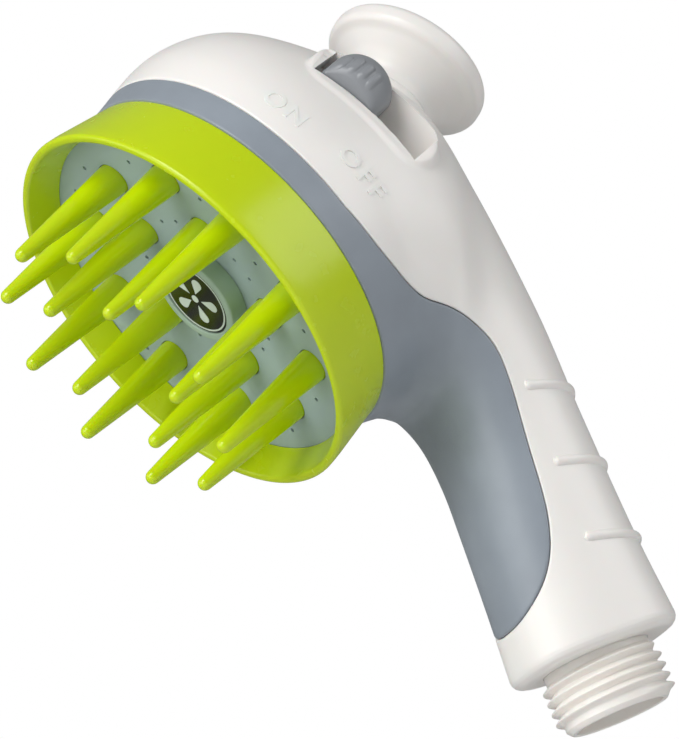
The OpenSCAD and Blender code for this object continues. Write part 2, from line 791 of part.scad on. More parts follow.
module rod_clip() {
  color("silver") in_head() translate([valve_x, 0, valve_z]) difference() {
    along_y(rod_top_y - 0.9, rod_top_y - 0.4, rod_r + 0.6);
    along_y(rod_top_y - 2, rod_top_y, clip_groove_r + thread_fit);
    translate([-clip_groove_r * 0.8, rod_top_y - 2, -10]) cube([clip_groove_r * 1.6, 4, 10]);
  }
}

module switch_arm() {
  leg_y = arm_leg_y - seat[1] - on_y;
  tail = stem_len / 2 + 1;
  leg_low = -valve_depth - 3.4;
  color("whitesmoke") in_switch(on_y) difference() {
    union() {
      translate([-arm_w / 2, -tail, arm_top - arm_t]) cube([arm_w, tail + leg_y + arm_leg_t / 2, arm_t]);
      translate([-stem_w / 2, -stem_len / 2, arm_top - eps])
        cube([stem_w, stem_len, -1.6 - arm_top]);
      translate([-arm_w / 2, leg_y - arm_leg_t / 2, leg_low]) cube([arm_w, arm_leg_t, arm_top - leg_low]);
    }
    translate([0, 0, -valve_depth]) along_y(leg_y - 4, leg_y + 4, rod_pin_r + face_gap);
  }
}

module switch_button() {
  half = button_len / 2;
  foot_z = -pocket_depth + 0.25;
  side_z = 0.4;
  arc_r = (half * half + pow(button_rise - side_z, 2)) / (2 * (button_rise - side_z));
  ridge_step = 2;
  ridge_shift = 0.8;   // towards ON
  color("slategray") in_switch(on_y) difference() {
    union() {
      intersection() {
        translate([-button_w / 2, -half, foot_z]) cube([button_w, button_len, 20]);
        translate([-button_w / 2, 0, button_rise - arc_r]) rotate([0, 90, 0])
          cylinder(r = arc_r, h = button_w);
      }
      translate([-button_w / 2, -half, foot_z]) cube([button_w, button_len, side_z - foot_z]);
      for (i = [-1.5 : 1 : 1.5])
        translate([-button_w / 2 + 1.6, 0, button_rise - arc_r])
          rotate([-asin((i * ridge_step + ridge_shift) / arc_r), 0, 0])
            translate([0, 0, arc_r]) rotate([0, 90, 0]) cylinder(r = 0.4, h = button_w - 3.2);
    }
    translate([-stem_w / 2 - thread_fit, -stem_len / 2 - thread_fit, -10])
      cube([stem_w + 2 * thread_fit, stem_len + 2 * thread_fit, 8.5]);
  }
}

// Helical ridge that fades out at both ends
function thread_ring(k, per_turn) =
  let (
    a = k * 360 / per_turn,
    z = thread_start + k * thread_pitch / per_turn,
    count = thread_turns * per_turn,
    fade = min(1, min(k, count - k) / (per_turn / 6)),
    crest = thread_root_r - 0.15 + (thread_depth + 0.15) * fade
  )
  [for (q = [[thread_root_r - 0.3, -0.42], [crest, -0.14], [crest, 0.14], [thread_root_r - 0.3, 0.42]])
    [q[0] * cos(a), q[0] * sin(a), z + q[1] * thread_pitch]];

module thread_ridge() {
  per_turn = 28;
  count = thread_turns * per_turn;
  points = [for (k = [0 : count]) for (p = thread_ring(k, per_turn)) p];
  sides = [for (k = [0 : count - 1]) for (j = [0 : 3])
    for (t = [[4 * k + j, 4 * k + (j + 1) % 4, 4 * k + 4 + j],
      [4 * k + (j + 1) % 4, 4 * k + 4 + (j + 1) % 4, 4 * k + 4 + j]]) t];
  ends = [[3, 2, 1, 0], [4 * count, 4 * count + 1, 4 * count + 2, 4 * count + 3]];
  polyhedron(points, concat(sides, ends));
}

module inlet_fitting() {
  flat_x = heel_half_w - wall - 0.3;
  flange_r2 = heel_front - wall - 0.8;
  color("linen") difference() {
    union() {
      turned([
        [0, 0],
        [inlet_bore_r + 0.9, 0],
        [thread_root_r, 0.8],
        [thread_root_r, seat_z + 1],
        [0, seat_z + 1]
      ]);
      thread_ridge();
      intersection() {
        translate([0, 0, seat_z]) cylinder(r = flange_r2, h = inlet_flange_t);
        translate([-flat_x, -20, 0]) cube([2 * flat_x, 40, 60]);
      }
      translate([0, 0, seat_z + 1]) cylinder(r = barb_r, h = barb_top_z - seat_z - 1);
    }
    translate([0, 0, -1]) cylinder(r = inlet_bore_r, h = heel_z + 2.5);
    cylinder(r = barb_bore_r, h = 60);
  }
}

// Circle of points round a place on the tube's route
function route_dir(u) =
  let (d = curve_at(tube_route, min(u + 0.02, len(tube_route) - 1)) - curve_at(tube_route, max(u - 0.02, 0)))
  d / norm(d);
function tube_ring(k, r) =
  let (
    u = k * (len(tube_route) - 1) / tube_rings,
    d = route_dir(u),
    side = cross([0, 1, 0], d),
    e1 = side / norm(side),
    e2 = cross(d, e1),
    c = curve_at(tube_route, u)
  )
  [for (j = [0 : tube_sides - 1])
    let (a = j * 360 / tube_sides) c + r * (cos(a) * e1 + sin(a) * e2)];

module water_tube() {
  n = tube_sides;
  m = tube_rings;
  outer = [for (k = [0 : m]) for (p = tube_ring(k, tube_r)) p];
  inner_r = (tube_r - tube_wall) / cos(180 / n);
  inner = [for (k = [0 : m]) for (p = tube_ring(k, inner_r)) p];
  base = (m + 1) * n;
  function quad(a, b, c, d) = [[a, b, c], [a, c, d]];
  skin_faces = [for (k = [0 : m - 1]) for (j = [0 : n - 1])
    let (j2 = (j + 1) % n, a = k * n + j, b = k * n + j2, c = b + n, d = a + n)
      for (f = concat(quad(a, d, c, b), quad(base + a, base + b, base + c, base + d))) f];
  end_faces = [for (j = [0 : n - 1])
    let (j2 = (j + 1) % n, t = m * n)
      for (f = concat(quad(j, j2, base + j2, base + j), quad(t + j, base + t + j, base + t + j2, t + j2))) f];
  color("gray") polyhedron(concat(outer, inner), concat(skin_faces, end_faces));
}

module clamp_band() {
  band_w = 4;
  band_t = 0.7;
  r = tube_r + face_gap;
  difference() {
    union() {
      cylinder(r = r + band_t, h = band_w);
      translate([r - 0.2, -1.2, 0]) cube([2.6, 2.4, band_w]);
    }
    translate([0, 0, -1]) cylinder(r = r, h = band_w + 2);
    translate([r + band_t, -0.4, -1]) cube([4, 0.8, band_w + 2]);
  }
}

module inlet_clamp() {
  color("silver") translate([0, 0, barb_z + 2.2]) clamp_band();
}

module valve_clamp() {
  color("silver") in_head() translate([valve_x, barrel_low_y - 2.2, valve_z])
    rotate([90, 0, 0]) clamp_band();
}

module hanger_knob() {
  neck_top = knob_lift + face_gap;
  rim_z = knob_reach;
  color("ivory") in_knob() difference() {
    turned([
      [0, neck_top],
      [knob_neck_r, neck_top],
      [knob_neck_r, neck_top + 1.8],
      [knob_neck_r + 0.9, rim_z - 4],
      [knob_neck_r + 2.7, rim_z - 2.2],
      [knob_r - 1.6, rim_z - 0.8],
      [knob_r - 0.4, rim_z],
      [knob_r, rim_z + knob_rim * 0.45],
      [knob_r - 0.5, rim_z + knob_rim],
      [knob_r * 0.6, rim_z + knob_rim + 1.2],
      [0, rim_z + knob_rim + 1.7]
    ]);
    translate([0, 0, -1]) cylinder(r = big_screw_r + thread_fit, h = rim_z + 1);
  }
}

module knob_screw() {
  color("silver") in_knob() translate([0, 0, knob_boss_z - 0.8 - 2 * face_gap]) rotate([180, 0, 0])
    pan_screw(big_screw_r, big_head_r, 1.6, 12);
}

module knob_washer() {
  color("silver") in_knob() translate([0, 0, knob_boss_z - 0.8 - face_gap]) difference() {
    cylinder(r = big_head_r + 1, h = 0.8);
    translate([0, 0, -1]) cylinder(r = big_screw_r + slip, h = 3);
  }
}

rear_shell();
front_shell();
brush_ring();
finger_pad();
spray_plate();
hub_cap();
badge_disc();
plate_screw();
plate_gasket();
water_chamber();
chamber_screws();
port_o_ring();
valve_body();
valve_screws();
valve_spool();
spool_o_rings();
valve_end_cap();
rod_seal();
rod_clip();
switch_arm();
switch_button();
inlet_fitting();
water_tube();
inlet_clamp();
valve_clamp();
hanger_knob();
knob_screw();
knob_washer();
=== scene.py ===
from math import acos, cos, pi, radians, sin

import bpy
import numpy as np
from mathutils import Matrix, Vector


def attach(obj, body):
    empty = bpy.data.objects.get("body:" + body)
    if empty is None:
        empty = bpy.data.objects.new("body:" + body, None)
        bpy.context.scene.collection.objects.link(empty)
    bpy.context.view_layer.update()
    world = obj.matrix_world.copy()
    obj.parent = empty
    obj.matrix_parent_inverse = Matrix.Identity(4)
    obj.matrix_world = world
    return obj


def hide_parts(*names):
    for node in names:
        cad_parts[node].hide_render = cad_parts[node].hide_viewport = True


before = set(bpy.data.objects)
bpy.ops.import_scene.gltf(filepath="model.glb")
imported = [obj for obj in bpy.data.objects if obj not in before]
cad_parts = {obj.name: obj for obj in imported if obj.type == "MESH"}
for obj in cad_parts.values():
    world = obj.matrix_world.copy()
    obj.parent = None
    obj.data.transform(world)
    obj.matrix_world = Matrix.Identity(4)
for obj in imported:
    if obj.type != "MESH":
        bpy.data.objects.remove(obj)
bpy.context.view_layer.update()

# Handheld bath sprayer. Shapes are worked out in millimetres in the CAD frame: origin at the
# inlet's end face, +Z up the handle, -Y the spray side, +X the side with the slide switch.
MM = 0.001

# Driving dimensions, as in the CAD source
bezel_r = 34
head_tilt = 23.5
ring_depth = 12.7
bezel_band = 5.1
dome_depth = 43.5
wall = 2.4
joint_gap = 0.1
handle_len = 47
throat_front = 11.3
heel_front = 14
heel_back = 14.5
grip_half_w = 14.4
heel_half_w = 13.1
heel_square = 2.8
floor_t = 3
throat_drop = 7.5
throat_back = 6.9
rib_count = 3
rib_pitch = 13.4
rim_flare = 1.65
plate_inset = 5.6
plate_dish = 1.8
plate_t = 1.8
pad_t = 1.5
outer_fingers = 10
outer_margin = 8.6
inner_fingers = 5
inner_circle_r = 14.6
finger_turn = 6
finger_reach = 15.9
finger_base_r = 2.9
finger_tip_r = 1.15
spray_hole_r = 0.4
hub_r = 8.6
hub_h = 3.6
badge_r = 7
badge_t = 1
travel = 8.5
button_len = 11.2
button_w = 7
button_rise = 4.4
button_gap = 0.25
pocket_depth = 4.4
switch_tilt = 31.5
collar_rise = 1.4
thread_r = 10.4775
thread_pitch = 1.814
thread_depth = 1.162
thread_turns = 4.25
inlet_len = 10.5
inlet_bore_r = 7.7
tube_r = 5.8
tube_wall = 1.4
knob_r = 14.9
knob_neck_r = 8.6
knob_reach = 8.2
knob_rim = 3.5
knob_tilt = 13
big_screw_r = 1.5
big_head_r = 3
screw_r = 1.1
slip = 0.1
face_gap = 0.05
snug_gap = 0.02

# Edge radii of the moulded pieces
joint_edge_r = 0.35
bezel_edge_r = 0.25
heel_edge_r = 2
slot_edge_r = 0.3

# Finger ribs on the back of the handle, slimmer than in the CAD source
rib_rise = 0.65
rib_w = 1.7
rib_power = 0.7          # below 1 gives a rib a fuller crown
rib_fall = radians(9)    # a rib runs down towards the back
first_rib = 0.37         # height of the lowest rib, as a share of the handle's length
rib_axis_y = 1
rib_start = -0.2         # where a rib begins, from rib_axis_y

# Hollow fillet from the knob's flat seat down to the dome
knob_seat_z = 1
knob_fillet = 3
knob_fillet_power = 2.2

# Fields over the skin hold within these depths of the switch and the knob, and are FAR elsewhere
FAR = 99.0
switch_zone = 8
knob_zone = 6

TINY = 1e-6
ON_LINE = 2e-3    # a point this near a splitting line lies on it

# Places that follow from the driving dimensions
spin = radians(90 + head_tilt)
heel_z = inlet_len
floor_z = heel_z + floor_t
throat = np.array([-throat_front, heel_z + handle_len])
back_y = heel_back - 1.2
dome_z = -ring_depth
joint_z = -(ring_depth + bezel_band)
thread_root_r = thread_r - thread_depth
neck_hole_r = thread_root_r + slip


# ---------------------------------------------------------------- frames
def turn_yz(y, z):
    """A place in the head's side view, turned into the part's own frame."""
    return np.array([y * cos(spin) - z * sin(spin), y * sin(spin) + z * cos(spin)])


head_centre = throat - turn_yz(-(bezel_r + throat_drop), -(ring_depth + throat_back))


def head_pt(y, z):
    return head_centre + turn_yz(y, z)


def turn_x(angle):
    return np.array([[1, 0, 0], [0, cos(angle), -sin(angle)], [0, sin(angle), cos(angle)]])


def turn_y(angle):
    return np.array([[cos(angle), 0, sin(angle)], [0, 1, 0], [-sin(angle), 0, cos(angle)]])


class Frame:
    """A turned and moved set of axes, in millimetres."""

    def __init__(self, origin, turn):
        self.origin = np.asarray(origin, float)
        self.turn = turn

    def out(self, points):
        return np.asarray(points, float) @ self.turn.T + self.origin

    def into(self, points):
        return (np.asarray(points, float) - self.origin) @ self.turn

    def child(self, origin, turn):
        return Frame(self.out(origin), self.turn @ turn)


PART = Frame((0, 0, 0), np.eye(3))
HEAD = Frame((0, *head_centre), turn_x(spin))


# ---------------------------------------------------------------- the body's skin
def curve_at(points, u):
    """Smooth curve through a list of points, at places u counted in points."""
    p = np.asarray(points, float)
    last = len(p) - 1
    u = np.asarray(u, float)
    i = np.clip(np.floor(u).astype(int), 0, last - 1)
    t = (u - i)[..., None]
    p1, p2 = p[i], p[i + 1]
    p0 = np.where((i > 0)[..., None], p[np.maximum(i - 1, 0)], 2 * p1 - p2)
    p3 = np.where((i < last - 1)[..., None], p[np.minimum(i + 2, last)], 2 * p2 - p1)
    bend = 2 * p0 - 5 * p1 + 4 * p2 - p3
    return 0.5 * (2 * p1 + (p2 - p0) * t + bend * t**2 + (3 * p1 - p0 - 3 * p2 + p3) * t**3)


def handle_z(share):
    return heel_z + handle_len * share


def station(front, back, half_w, square):
    """A cross-section: its front and back points in the side view, half width and squareness."""
    return [*front, *back, half_w, square]


# Back of the dome in shares of the bezel's radius and the dome's depth, with the half widths
# there in shares of the bezel's radius, and the throat below the bezel in millimetres
dome_pts = [(1.05, 0.33), (0.90, 0.61), (0.47, 0.865), (0.07, 1)]
dome_widths = [0.99, 0.925, 0.83, 0.725]
throat_pts = [(1.4, 3.3), (2.7, 5.3), (4.7, 6.6), (throat_drop, throat_back)]


def dome_station(i):
    front = head_pt(-(bezel_r + throat_pts[i][0]), dome_z - throat_pts[i][1])
    back = head_pt(bezel_r * dome_pts[i][0], dome_z - dome_depth * dome_pts[i][1])
    return station(front, back, bezel_r * dome_widths[i], 2)


upper_grip = station(
    (-throat_front + 0.2, handle_z(0.75)), (back_y - 0.3, handle_z(1.27)), grip_half_w + 1.6, 2.2
)
dome_end = dome_station(3)
nape = station(
    (-throat_front + 0.6, handle_z(0.89)),
    ((dome_end[2] + upper_grip[2]) / 2 + 1.1, (dome_end[3] + upper_grip[3]) / 2 + 3.8),
    (dome_end[4] + upper_grip[4]) / 2 - 1,
    2.1,
)
stations = np.array([
    station(head_pt(-bezel_r, dome_z), head_pt(bezel_r, dome_z), bezel_r, 2),
    *[dome_station(i) for i in range(4)],
    nape,
    upper_grip,
    station((-throat_front - 0.6, handle_z(0.58)), (back_y, handle_z(0.84)), grip_half_w, 2.3),
    station((-heel_front + 1, handle_z(0.29)), (back_y + 0.4, handle_z(0.36)),
            (grip_half_w + 2 * heel_half_w) / 3 - 0.2, 2.5),
    station((-heel_front, heel_z), (heel_back, heel_z), heel_half_w, heel_square),
])
heel_u = len(stations) - 1


def bulge(v, square):
    return np.sign(v) * np.abs(v) ** (2 / square)


def skin(u, a, inset=0):
    """Points of the body's skin at station u and angle a (radians), moved in by inset."""
    s = curve_at(stations, np.minimum(u, heel_u))
    mid = (s[..., 0:2] + s[..., 2:4]) / 2
    half = (s[..., 2:4] - s[..., 0:2]) / 2
    inset = np.broadcast_to(inset, np.shape(a))
    reach = (1 - inset / np.linalg.norm(half, axis=-1)) * bulge(np.cos(a), s[..., 5])
    x = (s[..., 4] - inset) * bulge(np.sin(a), s[..., 5])
    yz = mid + half * reach[..., None]
    return np.stack([x, yz[..., 0], yz[..., 1]], axis=-1)


switch_station = 2.8
switch_angle = radians(66.7)
knob_station = 3.92
switch_seat = HEAD.into(skin(np.array(switch_station), np.array(switch_angle)))
knob_seat = HEAD.into(skin(np.array(knob_station), np.array(0.0)))
SWITCH = HEAD.child(switch_seat, turn_y(radians(90 + switch_tilt)))
KNOB = HEAD.child((0, knob_seat[1], knob_seat[2]), turn_x(radians(180 + knob_tilt)))

# Joint line between the shells in the side view
joint_pts = [
    head_pt(-8, joint_z - 0.1),
    head_pt(-bezel_r * 0.52, joint_z - 1.4),
    throat + (-3.9, 15.3),
    throat + (2.8, 11.7),
    throat + (7.7, 6.5),
    throat + (9, -0.5),
    (-3.1, handle_z(0.73)),
    (-4.5, handle_z(0.48)),
    (-8.1, handle_z(0.3)),
    (-heel_front - 1.5, handle_z(0.14)),
]
joint_spans = len(joint_pts) - 1
span_steps = 14
joint_line = curve_at(joint_pts, np.linspace(0, joint_spans, span_steps * joint_spans + 1))
joint_line = np.vstack([head_pt(bezel_r * 2, joint_z), joint_line])
far_y = -4 * bezel_r
front_outline = np.vstack([joint_line, (far_y, joint_line[-1][1]), (far_y, joint_line[0][1])])

# Slot of the switch and the raised collar round it
end_gap = 1.35
slot_len = button_len + travel + 2 * end_gap
slot_w = button_w + 2 * button_gap
on_y = travel / 2
collar_w = 3.2
collar_r = slot_w / 2 + collar_w
collar_fall = 1.7
collar_slope = 0.25    # the collar stands higher on the side of the knob
collar_least = 0.35
collar_most = 2.4
on_end_cut = 0.7       # the collar is this much shorter at its ON end
on_end_power = 2.5     # above 2 squares that end

# Stem of the switch's arm
stem_w = 3
stem_len = 5

# Lugs of the water chamber
lug_circle_r = bezel_r - 5.6
lug_angles = (30, 150, 270)


# ---------------------------------------------------------------- fields over the skin
def inside_outline(y, z, outline):
    """True where (y, z) lies inside a closed outline."""
    inside = np.zeros(y.shape, bool)
    for (y0, z0), (y1, z1) in zip(outline, np.roll(outline, -1, axis=0)):
        if z0 == z1:
            continue
        crosses = (z0 > z) != (z1 > z)
        inside ^= crosses & (y < y0 + (z - z0) * (y1 - y0) / (z1 - z0))
    return inside


def joint_distance(u, a):
    """Distance to the joint line in the side view: negative on the front shell."""
    p = skin(u, a)
    y, z = p[:, 1], p[:, 2]
    nearest = np.full(len(y), np.inf)
    for start, end in zip(joint_line, joint_line[1:]):
        along = end - start
        t = np.clip(((y - start[0]) * along[0] + (z - start[1]) * along[1]) / (along @ along), 0, 1)
        gap = np.hypot(y - start[0] - t * along[0], z - start[1] - t * along[1])
        nearest = np.minimum(nearest, gap)
    return np.where(inside_outline(y, z, front_outline), -nearest, nearest)


def bezel_distance(u, a):
    """Distance behind the bezel's front edge."""
    return np.where(u < 1, dome_z - HEAD.into(skin(u, a))[:, 2], FAR)


def heel_height(u, a):
    """Height above the underside of the heel."""
    return np.where(u > heel_u, 0, skin(u, a)[:, 2] - heel_z)


def collar_distance(u, a):
    """Distance from the middle line of the switch's slot, seen square to the switch. The lines
    of equal distance end round at OFF, and squarer and sooner at ON."""
    q = SWITCH.into(skin(u, a))
    end = (slot_len - slot_w) / 2
    side = np.abs(q[:, 0])
    past_off = np.maximum(-q[:, 1] - end, 0)
    past_on = np.maximum(q[:, 1] - end + on_end_cut, 0)
    round_end = np.hypot(side, past_off)
    square_end = (side**on_end_power + past_on**on_end_power) ** (1 / on_end_power)
    gap = np.where(q[:, 1] < 0, round_end, square_end)
    return np.where(np.abs(q[:, 2]) < switch_zone, gap, FAR)


def slot_distance(u, a):
    """Distance outside the switch's rectangular slot."""
    q = SWITCH.into(skin(u, a))
    dx = np.abs(q[:, 0]) - slot_w / 2
    dy = np.abs(q[:, 1]) - slot_len / 2
    gap = np.hypot(np.maximum(dx, 0), np.maximum(dy, 0)) + np.minimum(np.maximum(dx, dy), 0)
    return np.where(np.abs(q[:, 2]) < switch_zone, gap, FAR)


def knob_distance(u, a):
    """Distance from the knob's axis on the back of the dome."""
    q = KNOB.into(skin(u, a))
    return np.where(np.abs(q[:, 2]) < knob_zone, np.hypot(q[:, 0], q[:, 1]), FAR)


def smooth(t):
    t = np.clip(t, 0, 1)
    return t * t * (3 - 2 * t)


def edge_round(distance, r):
    """How far an edge of radius r lies inside the sharp one, at a distance from it."""
    d = np.clip(r - distance, 0, r)
    return r - np.sqrt(np.maximum(r * r - d * d, 0))


def rib_place(u, a):
    """Places across and along the nearest finger rib on the back of the handle."""
    points = skin(u, a)
    y = points[:, 1] - rib_axis_y
    across, along = np.full(len(points), FAR), np.zeros(len(points))
    for i in range(rib_count):
        z = points[:, 2] - (handle_z(first_rib) + i * rib_pitch)
        here = y * sin(rib_fall) + z * cos(rib_fall)
        near = np.abs(here) < np.abs(across)
        across = np.where(near, here, across)
        along = np.where(near, y * cos(rib_fall) - z * sin(rib_fall), along)
    return across, along


def rib_side(u, a):
    """Distance above the middle line of the nearest finger rib: negative below it."""
    return rib_place(u, a)[0]


def rib_distance(u, a):
    """Distance from the middle line of the nearest finger rib."""
    across, along = rib_place(u, a)
    return np.hypot(across, np.maximum(rib_start - along, 0))


def neck_hole(points):
    """Where points of the heel meet the hole for the inlet's neck."""
    turn = np.arctan2(points[:, 1], points[:, 0])
    return np.stack([neck_hole_r * np.cos(turn), neck_hole_r * np.sin(turn), points[:, 2]], axis=1)


def outer_skin(u, a):
    """The finished outside of both shells, with collar, ribs and rounded edges."""
    inset = edge_round(np.abs(joint_distance(u, a)) - joint_gap / 2, joint_edge_r)
    inset = np.maximum(inset, edge_round(bezel_distance(u, a), bezel_edge_r))
    inset = inset + edge_round(heel_height(u, a), heel_edge_r)
    rise = collar_rise + collar_slope * SWITCH.into(skin(u, a))[:, 0]
    rise = np.clip(rise, collar_least, collar_most)
    collar = rise * smooth((collar_r - collar_distance(u, a)) / collar_fall)
    collar = collar - edge_round(np.maximum(slot_distance(u, a), 0), slot_edge_r)
    rib = rib_rise * np.maximum(1 - (rib_distance(u, a) / (rib_w / 2)) ** 2, 0) ** rib_power
    inset = inset - np.maximum(collar, 0) - rib
    points = skin(u, a, inset)
    # flat seat of the knob, with its fillet
    local = KNOB.into(points)
    near = np.clip((knob_neck_r + knob_fillet - knob_distance(u, a)) / knob_fillet, 0, 1)
    local[:, 2] += (knob_seat_z - local[:, 2]) * near**knob_fillet_power
    points = KNOB.out(local)
    # underside of the heel, in to the neck's hole
    past = np.maximum(u - heel_u, 0)[:, None]
    return points + (neck_hole(points) - points) * past


def inner_skin(u, a):
    """The inside of both shells, with the heel's floor."""
    points = skin(u, a, wall)
    below = np.clip((floor_z - points[:, 2]) / floor_t, 0, 1)
    share = (0.5 * below + 0.5 * np.maximum(u - heel_u, 0))[:, None]
    points[:, 2] = np.maximum(points[:, 2], floor_z)
    return points + (neck_hole(points) - points) * share


# ---------------------------------------------------------------- mesh making
def split(u, a, tris, field, value):
    """Adds a row of points where field(u, a) passes value, and splits the triangles there."""
    f = field(u, a) - value
    f[np.abs(f) < ON_LINE] = 0
    ends = np.sort(tris[:, [[0, 1], [1, 2], [2, 0]]], axis=2)
    crossed = f[ends[..., 0]] * f[ends[..., 1]] < 0
    if not crossed.any():
        return u, a, tris
    pairs, which = np.unique(ends[crossed], axis=0, return_inverse=True)
    p, q = pairs.T
    t = f[p] / (f[p] - f[q])
    step = (a[q] - a[p] + pi) % (2 * pi) - pi
    middle = np.full(crossed.shape, -1)
    middle[crossed] = len(u) + which.ravel()
    u = np.concatenate([u, u[p] + t * (u[q] - u[p])])
    a = np.concatenate([a, (a[p] + t * step) % (2 * pi)])
    count = crossed.sum(axis=1)
    parts = [tris[count == 0]]
    for k in range(3):
        k1, k2 = (k + 1) % 3, (k + 2) % 3
        both = (count == 2) & crossed[:, k] & crossed[:, k2]
        c0, c1, c2 = tris[both, k], tris[both, k1], tris[both, k2]
        m1, m2 = middle[both, k], middle[both, k2]
        parts += [np.stack(x, axis=1) for x in ((c0, m1, m2), (m1, c1, c2), (m1, c2, m2))]
        single = (count == 1) & crossed[:, k]
        c0, c1, c2 = tris[single, k], tris[single, k1], tris[single, k2]
        m1 = middle[single, k]
        parts += [np.stack(x, axis=1) for x in ((c0, m1, c2), (m1, c1, c2))]
    return u, a, np.concatenate(parts)


def body_sheet():
    """Triangles over the whole body, split along every line where its shape changes."""
    rows, columns, heel_rows = 207, 216, 6
    heel_levels = heel_u + np.arange(1, heel_rows + 1) / heel_rows
    levels = np.concatenate([np.linspace(0, heel_u, rows), heel_levels])
    count = len(levels)
    u = np.repeat(levels, columns)
    a = np.tile(np.arange(columns) * 2 * pi / columns, count)
    row, col = np.meshgrid(np.arange(count - 1), np.arange(columns), indexing="ij")
    c0 = (row * columns + col).ravel()
    c1 = (row * columns + (col + 1) % columns).ravel()
    c2, c3 = c1 + columns, c0 + columns
    tris = np.concatenate([np.stack([c0, c1, c2], axis=1), np.stack([c0, c2, c3], axis=1)])
    lines = [(joint_distance, s * d) for d in (0.12, 0.22, joint_edge_r, 1) for s in (-1, 1)]
    lines += [(joint_distance, s * joint_gap / 2) for s in (-1, 1)]
    lines += [(bezel_distance, d) for d in (0.08, bezel_edge_r)]
    lines += [(heel_height, heel_edge_r * (1 - sin(radians(t)))) for t in (0, 20, 40, 60, 80)]
    lines += [(collar_distance, collar_r - collar_fall * t) for t in (0, 0.15, 0.3, 0.5, 0.7, 0.85, 1)]
    lines += [(rib_side, 0)]
    lines += [(rib_distance, rib_w / 2 * t) for t in (0.3, 0.55, 0.75, 0.9, 1)]
    lines += [(slot_distance, d) for d in (0.1, 0.2, slot_edge_r)]
    lines += [(knob_distance, knob_neck_r + d) for d in (0, 0.4, 1, 2, knob_fillet)]
    for field, value in lines:
        u, a, tris = split(u, a, tris, field, value)
    return u, a, tris


def new_piece(name, points, faces, place=PART):
    """A mesh object from points in millimetres in one of the frames above."""
    mesh = bpy.data.meshes.new(name)
    mesh.from_pydata((place.out(points) * MM).tolist(), [], [list(f) for f in faces])
    mesh.validate()
    piece = bpy.data.objects.new(name, mesh)
    bpy.context.scene.collection.objects.link(piece)
    return piece


def closed_shell(name, u, a, tris):
    """Solid between the outer and the inner skin over some of the triangles."""
    used, tris = np.unique(tris, return_inverse=True)
    tris = tris.reshape(-1, 3)
    n = len(used)
    points = np.vstack([outer_skin(u[used], a[used]), inner_skin(u[used], a[used])])
    edges = tris[:, [[0, 1], [1, 2], [2, 0]]].reshape(-1, 2)
    back = edges[:, 1] * n + edges[:, 0]
    rim = edges[~np.isin(edges[:, 0] * n + edges[:, 1], back)]
    walls = [(j, i, i + n, j + n) for i, j in rim.tolist()]
    return new_piece(name, points, tris.tolist() + (tris[:, ::-1] + n).tolist() + walls)


def rounded(corners, closed=False, step=radians(15)):
    """Outline through (x, y, radius) corners, each rounded by an arc of its radius. An arc that
    needs more than side_share of a side beside it gets a smaller radius."""
    side_share = 0.49
    points = []
    count = len(corners)
    for k, (x, y, r) in enumerate(corners):
        here = np.array([x, y], float)
        if r == 0 or (not closed and k in (0, count - 1)):
            points.append(here)
            continue
        before = np.array(corners[k - 1][:2], float) - here
        after = np.array(corners[(k + 1) % count][:2], float) - here
        lb, la = np.linalg.norm(before), np.linalg.norm(after)
        before, after = before / lb, after / la
        angle = acos(max(-1, min(1, before @ after)))
        reach = min(r / np.tan(angle / 2), side_share * lb, side_share * la)
        r = reach * np.tan(angle / 2)
        middle = (before + after) / np.linalg.norm(before + after)
        centre = here + middle * (r / sin(angle / 2))
        start, end = here + before * reach - centre, here + after * reach - centre
        sweep = pi - angle
        turns = max(1, int(np.ceil(sweep / step)))
        side = np.sign(start[0] * end[1] - start[1] * end[0])
        for i in range(turns + 1):
            t = side * sweep * i / turns
            turned_x = start[0] * cos(t) - start[1] * sin(t)
            turned_y = start[0] * sin(t) + start[1] * cos(t)
            points.append(centre + (turned_x, turned_y))
    return points


def lathe(name, profile, place=PART, closed=False, segments=192, push=None):
    """A turned solid from (radius, height) points. push(points) may move its points."""
    points, rings = [], []
    for r, z in profile:
        if r < TINY:
            rings.append([len(points)])
            points.append((0, 0, z))
            continue
        rings.append(list(range(len(points), len(points) + segments)))
        turn = np.arange(segments) * 2 * pi / segments
        points += np.stack([r * np.cos(turn), r * np.sin(turn), np.full(segments, z)], axis=1).tolist()
    faces = []
    pairs = list(zip(rings, rings[1:])) + ([(rings[-1], rings[0])] if closed else [])
    for low, high in pairs:
        for k in range(segments):
            m = (k + 1) % segments
            if len(low) + len(high) == 2:
                break
            if len(low) == 1:
                faces.append((low[0], high[m], high[k]))
            elif len(high) == 1:
                faces.append((low[k], low[m], high[0]))
            else:
                faces.append((low[k], low[m], high[m], high[k]))
    points = np.array(points)
    if push:
        points = push(points)
    piece = new_piece(name, points, faces, place)
    outward(piece)
    return piece


def outward(piece):
    """Turns the faces of a closed mesh outwards."""
    mesh = piece.data
    mesh.calc_loop_triangles()
    co = np.empty(len(mesh.vertices) * 3)
    mesh.vertices.foreach_get("co", co)
    co = co.reshape(-1, 3)
    tri = np.array([t.vertices[:] for t in mesh.loop_triangles])
    volume = np.einsum("ij,ij->i", co[tri[:, 0]], np.cross(co[tri[:, 1]], co[tri[:, 2]])).sum()
    if volume < 0:
        mesh.flip_normals()


def prism(name, outline, low, high, place):
    """A straight solid over an outline, between two heights."""
    n = len(outline)
    points = [(x, y, z) for z in (low, high) for x, y in outline]
    faces = [tuple(range(n))[::-1], tuple(range(n, 2 * n))]
    faces += [(k, (k + 1) % n, n + (k + 1) % n, n + k) for k in range(n)]
    piece = new_piece(name, points, faces, place)
    outward(piece)
    return piece


def circle(r, x=0, y=0, count=48):
    return [(x + r * cos(2 * pi * k / count), y + r * sin(2 * pi * k / count)) for k in range(count)]


def on_circle(r, degrees):
    return np.array([r * cos(radians(degrees)), r * sin(radians(degrees))])


